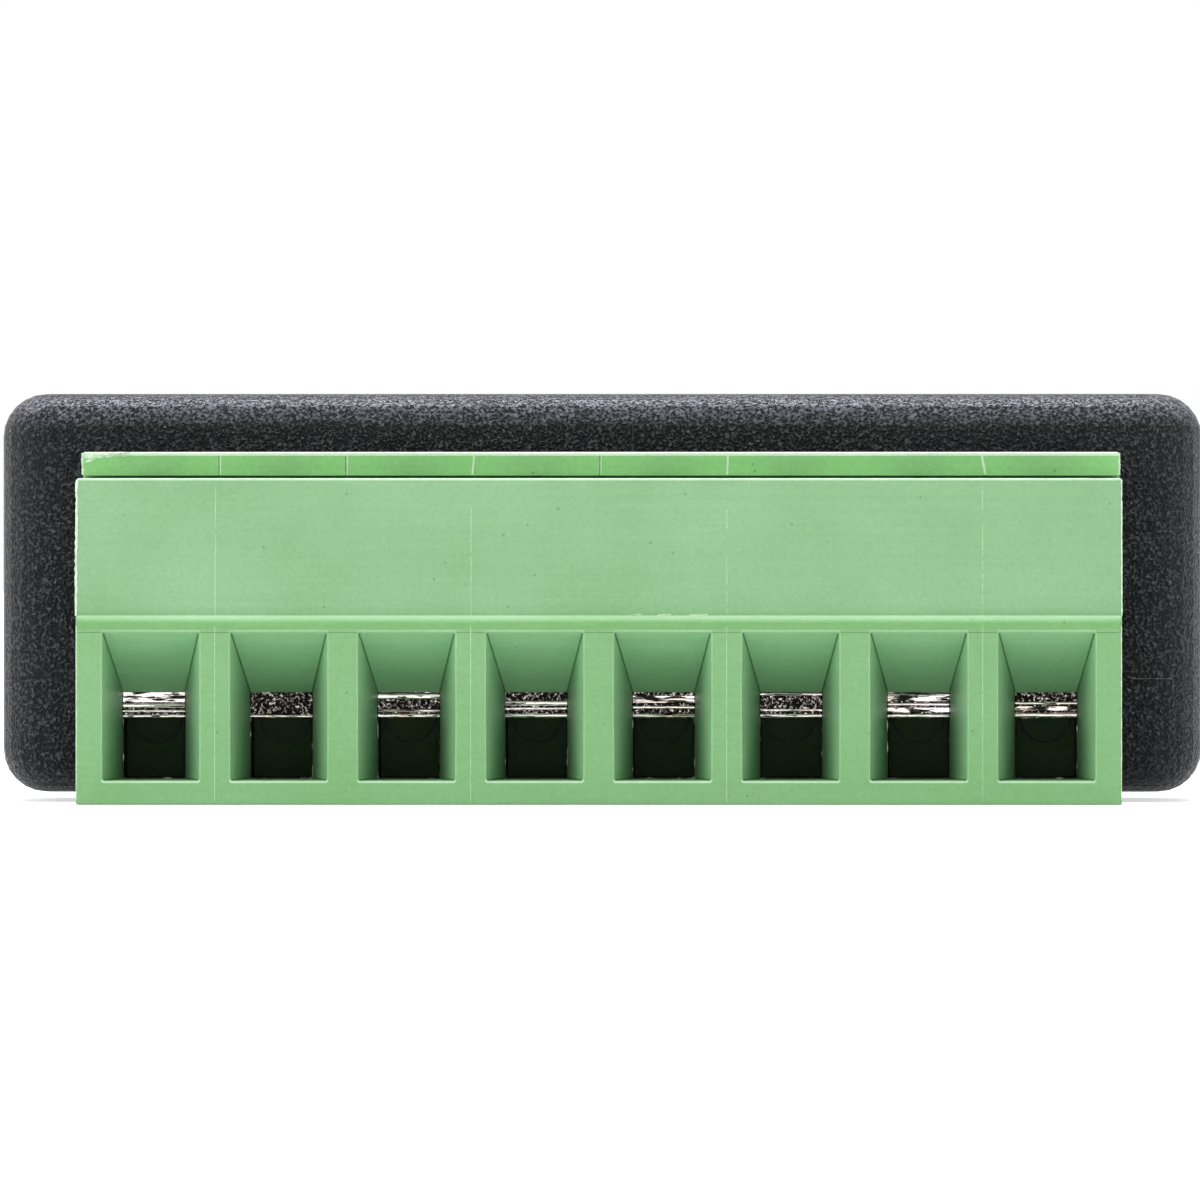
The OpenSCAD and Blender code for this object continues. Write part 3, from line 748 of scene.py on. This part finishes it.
def plug_finish(face):
    """The finish that a face of the plug gets once its edges are rounded."""
    place, finish = face.center / MM, face.material_index
    in_row = abs(place.x) < ROW_HALF
    # The tunnels take painted shade
    if in_row and FUNNEL_END + 0.04 < place.y < TUNNEL_BACK and TUNNEL_LOW < place.z < TUNNEL_HIGH:
        return TUNNEL
    # The sill's rounding: a painted highlight at its top, fading to the plain green lower down
    on_sill = SILL - 0.2 < place.z < SILL - 0.001 and place.y < FRONT + 0.3
    if on_sill and abs(face.normal.x) < 0.2:
        return EDGE if place.z > SILL - 0.03 else RIM if place.z > SILL - 0.1 else PLAIN
    # Rounded edges of the mouths and holes take the fainter painted highlight
    if finish == EDGE and LIP + 0.07 < place.z < SILL:
        return RIM
    # The ridge's top edge: a painted highlight in the flash's near-white green
    if finish == EDGE and place.z > RIDGE - 0.13:
        return THIN
    # Funnel side walls take the finish with painted light and painted shade
    in_funnel = in_row and FRONT + 0.1 < place.y < FUNNEL_END and place.z < MOUTH_TOP
    if finish == PLAIN and in_funnel and 0.6 < abs(face.normal.x) < 0.9999:
        return SIDE
    return finish


def make_plug():
    """The plug's moulding, parted into panels at the ribs and mouths before its edges are rounded."""
    cuts = [(0, PITCH * step) for step in range(-3, 4)] + [(2, LIP), (2, MOUTH_TOP)]
    piece = merged_copy("plug_housing", "plug_moulding", cuts)
    open_mesh(piece, "VERT")
    pick(piece, "verts", on_lip)
    bpy.ops.transform.translate(value=(0, 0, LIP_RISE * MM))
    close_mesh()
    for green in PLUG_FINISHES:
        piece.data.materials.append(green)
    rounded(piece, 0.04, funnel_crease, 1, CREASE)
    rounded(piece, 0.12, bright_edge, 2, EDGE)
    rounded(piece, 0.3, soft_edge, 4)
    for face in piece.data.polygons:
        face.material_index = plug_finish(face)
    smooth(piece)
    dress(piece, PLUG_GREEN, "plug_green", "terminal_plug", "plug_housing")


def make_insert_marks():
    """Fine rings that the mould's core pins leave on the back walls of the wire tunnels, drawn in dark
    green as painted shade at the rims of the marks.
    """
    bpy.ops.object.select_all(action="DESELECT")
    bpy.ops.mesh.primitive_torus_add(
        location=(pole_x(1) * MM, TUNNEL_END * MM, BAR_LOW * MM),
        rotation=(math.radians(90), 0, 0),
        major_radius=0.75 * MM,
        minor_radius=0.032 * MM,
        major_segments=64,
        minor_segments=6,
    )
    ring = named("insert_mark_1")
    settle(ring)
    open_mesh(ring)
    bpy.ops.mesh.select_all(action="SELECT")
    above_bar = (0, 0, (BAR_LOW + 0.1) * MM)
    bpy.ops.mesh.bisect(plane_co=above_bar, plane_no=(0, 0, 1), clear_outer=True, use_fill=True)
    close_mesh()
    piece = join("plug_insert_marks", [mark for _, mark in in_a_row(ring, "insert_mark", PITCH)])
    smooth(piece, 60)
    dress(piece, MARK_SHADE_GREEN, "plug_green", "terminal_plug")


def flash_line(start, end, width, proud, wobble, cuts, seed):
    """A thin, uneven line between two points, as wide across the surface and as proud of it as given."""
    start, end = Vector(start), Vector(end)
    run = end - start
    bpy.ops.object.select_all(action="DESELECT")
    bpy.ops.mesh.primitive_cube_add(
        size=1,
        location=(start + end) / 2 * MM,
        rotation=Vector((0, 0, 1)).rotation_difference(run).to_euler(),
        scale=Vector((width, 2 * proud, run.length)) * MM,
    )
    piece = named("flash_line")
    settle(piece)
    open_mesh(piece)
    pick(piece, "edges", lambda edge: abs(edge.calc_length() / MM - run.length) < 0.01)
    bpy.ops.mesh.subdivide(number_cuts=cuts)
    bpy.ops.mesh.select_all(action="SELECT")
    roughened(wobble, seed)
    close_mesh()
    return piece


def make_trim(name, material, pieces, slot="plug_green", body="terminal_plug"):
    """One piece of thin trim, joined from its lines or layers."""
    piece = join(name, pieces)
    smooth(piece, 60)
    dress(piece, material, slot, body)


# The seams on the plate, by their rib: the stretches that show, as shares of the plate's height
PLATE_SEAMS = {
    -3: ((0.0, 0.6), (0.66, 0.97)),
    -1: ((0.0, 0.44), (0.47, 0.8)),
    1: ((0.02, 0.18), (0.23, 0.43), (0.64, 0.78)),
    3: ((0.01, 0.4), (0.43, 0.68), (0.78, 0.97)),
}

# The seams on the ridge: rib, lean, width and whether a dark line of painted shadow runs beside the pale
# one
RIDGE_SEAMS = (
    (-3, 0.0, 0.045, True),
    (-2, 0.0, 0.045, True),
    (-1, -0.05, 0.065, False),
    (0, 0.0, 0.03, True),
    (1, -0.02, 0.06, False),
    (3, 0.11, 0.07, False),
)


def make_plate_seams():
    """Lines that the mould's inserts leave on every second rib, on the ledge and on the plate."""
    lines = []
    for rib, stretches in PLATE_SEAMS.items():
        x = PITCH * rib
        seed = round(x * 10) + 200
        lines.append(flash_line((x, FRONT, 0.1), (x, FRONT, SILL - 0.32), 0.026, 0.004, 0.011, 60, seed))
        ledge = ((x, FRONT + 0.3, SILL), (x, FRONT + LEDGE, SILL))
        lines.append(flash_line(*ledge, 0.03, 0.008, 0.006, 4, seed + 1))
        foot = Vector((x, FRONT + LEDGE, SILL))
        head = Vector((x, FRONT + PLATE_TOP - 0.012, DECK - 0.06))
        for low, high in stretches:
            seed += 2
            ends = (foot.lerp(head, low), foot.lerp(head, high))
            lines.append(flash_line(*ends, 0.026, 0.003, 0.012, round(60 * (high - low)), seed))
    make_trim("plug_mould_lines", FLASH_GREEN, lines)


def make_ridge_seams():
    """Pale lines across the ridge, some with a dark line of painted shadow on their left."""
    pale, dark = [], []
    for rib, lean, width, shaded in RIDGE_SEAMS:
        x = PITCH * rib
        seed = round(x * 10) + 400
        ends = ((x + lean, RIDGE_Y, DECK + 0.12), (x, RIDGE_Y, RIDGE - 0.1))
        pale.append(flash_line(*ends, width, 0.014, 0.009, 10, seed))
        if shaded:
            x -= width / 2 + 0.02
            ends = ((x + lean, RIDGE_Y, DECK + 0.1), (x, RIDGE_Y, RIDGE - 0.12))
            dark.append(flash_line(*ends, 0.024, 0.004, 0.008, 10, seed + 200))
    make_trim("plug_ridge_lines", THIN_FLASH_AND_HIGHLIGHT, pale)
    make_trim("plug_ridge_painted_shadows", CREASE_SHADE_GREEN, dark)


def make_band_creases():
    """A dark line of painted shade at the top of each rib, under the band above the mouths."""
    mouth_sides = [pole_x(pole) + side * MOUTH_W / 2 for pole in POLES for side in (-1, 1)]
    rib_ends = [-HALF + 0.08, *mouth_sides, HALF - 0.08]
    lines = []
    for rib, sides in enumerate(zip(rib_ends[::2], rib_ends[1::2])):
        ends = [(x, FRONT, MOUTH_TOP - 0.03) for x in sides]
        lines.append(flash_line(*ends, 0.016, 0.003, 0.003, 8, 700 + rib))
    make_trim("plug_band_painted_shade", CREASE_SHADE_GREEN, lines)


def upright(x, y, low, high):
    """The ends of a line that stands on the spot."""
    return (x, y, low), (x, y, high)


def make_edge_flash():
    """Thin pale flash where the mould's halves met, at the plug's ends, on the ridge and on the ledge."""
    left, right = -HALF + 0.02, HALF - 0.02
    front, face = FRONT + 0.03, RIDGE_Y - 0.004
    block, ridge = (0.15, SILL - 0.3), (DECK + 0.12, RIDGE - 0.03)
    lines = [
        # Left end of the plate and of the front block
        flash_line((-HALF - 0.005, *PLATE_FOOT), (-HALF - 0.005, *PLATE_HEAD), 0.065, 0.02, 0.03, 34, 11),
        flash_line(*upright(left, front, *block), 0.03, 0.012, 0.01, 46, 12),
        # Right end of the plate and of the front block
        flash_line((HALF, *PLATE_FOOT), (HALF, *PLATE_HEAD), 0.04, 0.015, 0.014, 46, 13),
        flash_line(*upright(right, front, *block), 0.035, 0.012, 0.012, 46, 14),
        # Ridge: its left end with a curl and a tear, and its right end
        flash_line(*upright(-HALF, RIDGE_Y + 0.02, *ridge), 0.06, 0.02, 0.025, 12, 15),
        flash_line(
            (-HALF + 0.05, face, RIDGE - 0.15), (-HALF + 1.4, face, RIDGE - 0.08), 0.1, 0.015, 0.05, 13, 16
        ),
        flash_line(
            (-HALF + 0.08, face, RIDGE - 0.3), (-HALF + 0.55, face, RIDGE - 0.14), 0.05, 0.015, 0.04, 7, 19
        ),
        flash_line(*upright(HALF - 0.01, RIDGE_Y + 0.02, *ridge), 0.05, 0.02, 0.02, 12, 17),
    ]
    for start, stop, seed in ((0.9, 1.25, 21), (1.75, 2.15, 22), (2.7, 3.25, 23)):
        y = FRONT + LEDGE - 0.02
        lines.append(flash_line((start, y, SILL), (stop, y, SILL + 0.03), 0.06, 0.015, 0.02, 5, seed))
    make_trim("plug_edge_flash", THIN_FLASH_AND_HIGHLIGHT, lines)


def make_contacts():
    """The first contact, with a torn front end, and its seven copies."""
    first = merged_copy("plug_contact_1", "contact_1")
    open_mesh(first, "FACE")
    pick(first, "faces", lambda face: abs(middle(face).y - bar_low.y) < NEAR)
    bpy.ops.mesh.inset(thickness=0.03 * MM)
    bpy.ops.mesh.subdivide(number_cuts=9)
    pick(first, "verts", lambda vert: is_at(vert, 1, bar_low.y))
    roughened(0.012, 4, 0.2)
    close_mesh()
    smooth(first, 50)
    for metal in (BAR_TIN, TORN_TIN):
        first.data.materials.append(metal)
    for face in first.data.polygons:
        face.material_index = int(face.center.y / MM < bar_low.y + 0.02)
    for pole, piece in in_a_row(first, "contact", PITCH):
        dress(piece, BAR_TIN, "contact_tin", "terminal_plug", f"plug_contact_{pole}")


# What each bar's sheared front end shows, from its top edge down, as shares of its height
BAR_ENDS = {
    1: (
        ("ragged", 0.38), ("gap", 0.04), ("strip", 0.2), ("gap", 0.07), ("strip", 0.09), ("gap", 0.08),
        ("strip", 0.14),
    ),
    2: (("torn", 0.84), ("gap", 0.03), ("strip", 0.13)),
    3: (("strip", 0.3), ("torn", 0.36), ("strip", 0.12), ("gap", 0.06), ("strip", 0.16)),
    4: (("torn", 0.3), ("strip", 0.24), ("gap", 0.05), ("strip", 0.1), ("gap", 0.13), ("strip", 0.18)),
    5: (("torn", 0.14), ("ragged", 0.26), ("gap", 0.12), ("strip", 0.13), ("torn", 0.18), ("strip", 0.17)),
    6: (("strip", 0.14), ("gap", 0.08), ("torn", 0.42), ("strip", 0.1), ("gap", 0.1), ("strip", 0.16)),
    7: (
        ("ragged", 0.34), ("gap", 0.06), ("strip", 0.14), ("gap", 0.06), ("ragged", 0.18), ("gap", 0.05),
        ("strip", 0.17),
    ),
    8: (("torn", 0.36), ("strip", 0.13), ("gap", 0.06), ("ragged", 0.16), ("gap", 0.07), ("strip", 0.22)),
}

# How far the rough layers stand proud, and their relief
ROUGH_LAYERS = {"ragged": (0.035, 0.035), "torn": (0.02, 0.016)}


def spans_bar(edge):
    return reach(edge, 0) > 1.5


def bar_layer(name, x, low, high, proud):
    return add_box(name, (x - LAYER_HALF, bar_low.y - proud, low), (x + LAYER_HALF, LAYER_ROOT, high))


def bar_strip(x, low, high, seed):
    """A smeared layer of tin across a bar's end, rounded and slightly wavy."""
    strip = bar_layer("strip", x, low, high, STRIP_PROUD)
    front = bar_low.y - STRIP_PROUD
    open_mesh(strip)
    pick(strip, "edges", lambda edge: lies_on(edge, 1, front) and reach(edge, 2) < 0.001)
    bpy.ops.mesh.bevel(offset=0.4 * (high - low) * MM, segments=2, affect="EDGES")
    pick(strip, "edges", spans_bar)
    bpy.ops.mesh.subdivide(number_cuts=22)
    bpy.ops.mesh.select_all(action="SELECT")
    roughened(0.011, seed)
    close_mesh()
    return strip


def bar_patch(x, low, high, seed, proud, relief):
    """A rough layer of a bar's end, with a relief over its front."""
    patch = bar_layer("patch", x, low, high, proud)
    front, tall = bar_low.y - proud, high - low
    open_mesh(patch)
    pick(patch, "edges", spans_bar)
    bpy.ops.mesh.subdivide(number_cuts=26)
    pick(patch, "edges", lambda edge: reach(edge, 2) > 0.9 * tall and lies_on(edge, 1, front))
    bpy.ops.mesh.subdivide(number_cuts=max(1, round(tall / 0.07)))
    pick(patch, "verts", lambda vert: is_at(vert, 1, front))
    roughened(relief, seed)
    close_mesh()
    return patch


def make_bar_ends():
    """The layers on each bar's end, joined by their kind."""
    for pole, layers in BAR_ENDS.items():
        top = BAR_HIGH + BAR_BURR
        layers_of = {"strip": [], "ragged": [], "torn": []}
        for place, (kind, share) in enumerate(layers):
            low = top - share * (BAR_HIGH - BAR_LOW + BAR_BURR)
            span = (pole_x(pole), low, top, 20 * pole + place)
            if kind == "strip":
                layers_of[kind].append(bar_strip(*span))
            elif kind in ROUGH_LAYERS:
                layers_of[kind].append(bar_patch(*span, *ROUGH_LAYERS[kind]))
            top = low
        for kind, metal in (("strip", STRIP_TIN), ("ragged", RAGGED_TIN), ("torn", TORN_TIN)):
            if layers_of[kind]:
                make_trim(f"contact_{kind}_{pole}", metal, layers_of[kind], "contact_tin")


def make_cages():
    first = merged_copy("clamp_cage_1", "cage_1")
    rounded(first, 0.08, lambda edge: 1.0 if sharp(edge, 60) else 0)
    smooth(first)
    for pole, piece in in_a_row(first, "cage", PITCH):
        dress(piece, CAGE_METAL, "cage_metal", f"cage_{pole}", f"clamp_cage_{pole}")


def make_screw_head():
    x, y = SCREW_AT
    top = screw_high.z
    head = add_rod("screw_1", SCREW_AT, HEAD_R, top - HEAD_H, top, 64)
    open_mesh(head)
    pick(head, "edges", lambda edge: sharp(edge, 60))
    bpy.ops.mesh.bevel(offset=0.12 * MM, segments=3, affect="EDGES")
    close_mesh()
    cut(head, add_box("slot_tool", (x - 2, y - SLOT_W / 2, top - SLOT_D), (x + 2, y + SLOT_W / 2, top + 1)))
    return head


def make_screw_core():
    core = add_rod("screw_core", SCREW_AT, CORE_R, CORE_LOW, screw_high.z - HEAD_H + 0.2, 32)
    open_mesh(core)
    pick(core, "edges", lambda edge: lies_on(edge, 2, CORE_LOW))
    bpy.ops.mesh.bevel(offset=0.15 * MM, segments=2, affect="EDGES")
    close_mesh()
    return core


def make_thread():
    """A ridge wound up the screw's core."""
    bpy.ops.object.select_all(action="DESELECT")
    bpy.ops.mesh.primitive_circle_add(vertices=3, radius=1, location=(0, 0, 0))
    ridge = named("screw_thread")
    open_mesh(ridge, "VERT")
    mesh = bmesh.from_edit_mesh(ridge.data)
    outline = ((THREAD_ROOT, 0), (THREAD_CREST, THREAD_LEAD * 0.4), (THREAD_ROOT, THREAD_LEAD * 0.8))
    for vert, (out, up) in zip(mesh.verts, outline):
        vert.co = Vector((out, 0, THREAD_LOW + up)) * MM
    bmesh.update_edit_mesh(ridge.data)
    close_mesh()
    modifier = ridge.modifiers.new("wind", "SCREW")
    modifier.axis = "Z"
    modifier.screw_offset = THREAD_LEAD * MM
    modifier.iterations = THREAD_TURNS
    modifier.steps = 32
    modifier.render_steps = 32
    modifier.use_merge_vertices = True
    modifier.merge_threshold = 0.0001 * MM
    apply_all(ridge)
    open_mesh(ridge)
    pick(ridge, "edges", lambda edge: edge.is_boundary)
    bpy.ops.mesh.edge_face_add()
    bpy.ops.mesh.select_all(action="SELECT")
    bpy.ops.mesh.normals_make_consistent(inside=False)
    bpy.ops.transform.translate(value=(SCREW_AT[0] * MM, SCREW_AT[1] * MM, 0))
    close_mesh()
    return ridge


def in_slot(face):
    """True for the walls and the floor of the screw's slot, which are painted dark as painted shade."""
    place = face.center / MM - Vector((*SCREW_AT, screw_high.z))
    within = abs(place.y) < SLOT_W / 2 + 0.005 and -SLOT_D - 0.01 < place.z < -0.01
    return within and math.hypot(place.x, place.y) < HEAD_R - 0.02


def make_screws():
    """A slotted screw with a turned head and a cut thread, and its seven copies."""
    first = join("screw_1", [make_screw_head(), make_screw_core(), make_thread()])
    smooth(first, 40)
    for metal in (SCREW_STEEL, SLOT_SHADE_STEEL):
        first.data.materials.append(metal)
    for face in first.data.polygons:
        face.material_index = int(in_slot(face))
    for pole, piece in in_a_row(first, "screw", PITCH):
        dress(piece, SCREW_STEEL, "screw_steel", f"screw_{pole}", f"clamp_screw_{pole}")


# Header, board and case


def make_header():
    piece = merged_copy("header_housing", "header_moulding")
    rounded(piece, 0.12, lambda edge: 1.0 if sharp(edge) and lies_on(edge, 1, header_low.y) else 0)
    smooth(piece)
    dress(piece, HEADER_GREEN, "header_green", "adapter_body", "header_housing")


def make_pins():
    """Square pins with chamfered tips."""
    first = merged_copy("header_pin_1", "pin_1")
    rounded(first, 0.2, lambda edge: 1.0 if lies_on(edge, 1, pin_low.y) else 0.2 if sharp(edge) else 0, 2)
    smooth(first)
    for pole, piece in in_a_row(first, "pin", PITCH):
        dress(piece, PIN_TIN, "contact_tin", "adapter_body", f"header_pin_{pole}")


def make_board():
    """The board keeps its CAD mesh and only gets a finish."""
    finishes = nodes["circuit_board"].data.materials
    finishes.clear()
    finishes.append(BOARD)


def shell_edge(edge):
    """The edges of the case's two ports."""
    if not sharp(edge, 40):
        return 0
    at_split = abs(middle(edge).z - SPLIT_Z) < 0.05
    at_ends = lies_on(edge, 1, case_low.y) or lies_on(edge, 1, case_high.y)
    return 1.0 if at_ends and not at_split else 0


def make_shell(node, name, towards_split):
    """A half of the case, closed up to a hairline where the halves meet."""
    piece = merged_copy(node, name)
    rim = SPLIT_Z - towards_split * PART_GAP / 2
    open_mesh(piece, "VERT")
    pick(piece, "verts", lambda vert: is_at(vert, 2, rim))
    bpy.ops.transform.translate(value=(0, 0, towards_split * 0.4 * PART_GAP * MM))
    close_mesh()
    rounded(piece, 0.08, shell_edge, 2)
    smooth(piece, 25)
    dress(piece, CASE_BLACK, "case_black", "adapter_body", node)


def make_case_scuff():
    """A hairline of flash on the parting line, right of the plug."""
    y, z = case_low.y, SPLIT_Z
    lines = [
        flash_line((HALF + 0.25, y, z + 0.05), (HALF + 0.6, y, z - 0.01), 0.024, 0.01, 0.01, 12, 31),
        flash_line((HALF + 0.55, y, z), (HALF + 1.6, y, z), 0.02, 0.01, 0.008, 30, 32),
    ]
    make_trim("case_parting_scuff", SCUFF_GREY, lines, "case_black", "adapter_body")


# Modular plug and latch


def modular_edge(edge):
    """The modular plug's outer edges, roundest at its nose."""
    sides = lies_on(edge, 0, MOD_HALF) or lies_on(edge, 0, -MOD_HALF)
    if not sharp(edge) or not (sides or lies_on(edge, 2, mod_high.z)):
        return 0
    return 1.0 if lies_on(edge, 1, mod_high.y) else 0.6


def make_modular_plug():
    piece = merged_copy("modular_plug", "modular_moulding")
    rounded(piece, 0.25, modular_edge)
    smooth(piece)
    dress(piece, CLEAR, "clear_plastic", "adapter_body", "modular_plug")


def make_latch():
    piece = merged_copy("latch_lever", "latch_moulding")
    rounded(piece, 0.15, lambda edge: 1.0 if sharp(edge, 40) else 0)
    smooth(piece)
    dress(piece, CLEAR, "clear_plastic", "latch", "latch_lever")


def blade_edge(edge):
    """A blade's edges, roundest at the contact side."""
    if not sharp(edge):
        return 0
    return 1.0 if lies_on(edge, 2, blade_low.z) else 0.3


def make_blades():
    first = merged_copy("modular_blade_1", "blade_1")
    rounded(first, 0.1, blade_edge, 2)
    smooth(first)
    for way, piece in in_a_row(first, "blade", WAY_PITCH):
        dress(piece, BLADE_GOLD, "blade_gold", "adapter_body", f"modular_blade_{way}")


# Stage


def seen_rays(tree):
    """1 for rays that show an image, straight, mirrored or through clear plastic, and 0 for light."""
    rays = tree.nodes.new("ShaderNodeLightPath").outputs
    straight = maths(tree, "MAXIMUM", rays["Is Camera Ray"], rays["Is Glossy Ray"])
    return maths(tree, "MAXIMUM", straight, rays["Is Transmission Ray"])


def make_floor():
    """A pale floor that shows as white away from the object and keeps its shadow."""
    bpy.ops.object.select_all(action="DESELECT")
    bpy.ops.mesh.primitive_plane_add(size=12, location=(0, 0, 0))
    floor = named("floor")
    material, tree, surface, place = new_material("pale_floor")
    painted(tree, surface, (0.86, 0.86, 0.86, 1), 0.9)
    surface.inputs["Emission Color"].default_value = (1, 1, 1, 1)
    away = add_node(tree, "ShaderNodeVectorMath", {0: place}, operation="LENGTH").outputs["Value"]
    level = ranged(tree, away, FLOOR_GLOW, 1.0, 0.05, 0.4)
    feed(tree, surface.inputs["Emission Strength"], maths(tree, "MULTIPLY", seen_rays(tree), level))
    floor.data.materials.append(material)


def make_world():
    world = bpy.data.worlds.new("studio")
    bpy.context.scene.world = world
    world.use_nodes = True
    tree = world.node_tree
    tree.nodes.clear()
    light = add_node(tree, "ShaderNodeBackground", {"Color": (1, 1, 1, 1), "Strength": AMBIENT}).outputs[0]
    backdrop = add_node(tree, "ShaderNodeBackground", {"Color": (1, 1, 1, 1), "Strength": 1.0}).outputs[0]
    blend = add_node(tree, "ShaderNodeMixShader", {0: seen_rays(tree), 1: light, 2: backdrop})
    output = tree.nodes.new("ShaderNodeOutputWorld")
    tree.links.new(blend.outputs[0], output.inputs["Surface"])


# Lamps in metres and watts: name, place, aim, size, power and colour
WHITE, COOL, COOLER = (1, 1, 1), (0.95, 0.96, 1.0), (0.94, 0.95, 1.0)
LAMPS = (
    ("overhead", (0, -0.12, 0.6), (0, -0.02, 0), (0.32, 0.22), 1.7, WHITE),
    ("overhead_mid", (0, 0.15, 0.62), (0, 0, 0), (0.6, 0.2), 1.3, COOL),
    ("overhead_back", (0, 0.45, 0.44), (0, 0, 0), (0.6, 0.12), 1.9, COOLER),
    ("left_front", (-0.25, -0.235, 0.15), (0, -0.02, 0), (0.2, 0.2), 0.4, WHITE),
    ("right_front", (0.5, -0.45, 0.3), (0, -0.02, 0), (0.4, 0.4), 0.36, WHITE),
)


def make_lamps():
    for name, place, aim, size, power, colour in LAMPS:
        lamp = bpy.data.lights.new(name, "AREA")
        lamp.shape = "RECTANGLE"
        lamp.size, lamp.size_y = size
        lamp.energy = power
        lamp.color = colour
        holder = bpy.data.objects.new(name, lamp)
        holder.location = place
        holder.rotation_euler = (Vector(aim) - Vector(place)).to_track_quat("-Z", "Y").to_euler()
        holder.visible_camera = False
        bpy.context.scene.collection.objects.link(holder)


# The camera looks at the plug's front from a little to the right and above, and takes in this field there.
CAMERA_AIM = Vector((0.04, FRONT, 6.1))
CAMERA_AWAY = 750
CAMERA_ACROSS, CAMERA_UP = math.radians(0.6), math.radians(0.08)
SENSOR = 36
FIELD = 35.71


def make_camera():
    camera = bpy.data.objects.new("camera", bpy.data.cameras.new("camera"))
    level = math.cos(CAMERA_UP)
    back = Vector((math.sin(CAMERA_ACROSS) * level, -math.cos(CAMERA_ACROSS) * level, math.sin(CAMERA_UP)))
    camera.location = (CAMERA_AIM + back * CAMERA_AWAY) * MM
    camera.rotation_euler = (-back).to_track_quat("-Z", "Y").to_euler()
    camera.data.sensor_width = SENSOR
    camera.data.lens = SENSOR * CAMERA_AWAY / FIELD
    camera.data.clip_start = 0.01
    camera.data.clip_end = 20
    bpy.context.scene.collection.objects.link(camera)
    bpy.context.scene.camera = camera


make_plug()
make_insert_marks()
make_plate_seams()
make_ridge_seams()
make_band_creases()
make_edge_flash()
make_contacts()
make_bar_ends()
make_cages()
make_screws()
make_header()
make_pins()
make_board()
make_shell("top_shell", "case_top", -1)
make_shell("bottom_shell", "case_bottom", 1)
make_case_scuff()
make_modular_plug()
make_latch()
make_blades()

make_floor()
make_world()
make_lamps()
make_camera()
bpy.context.scene.view_settings.view_transform = "Standard"
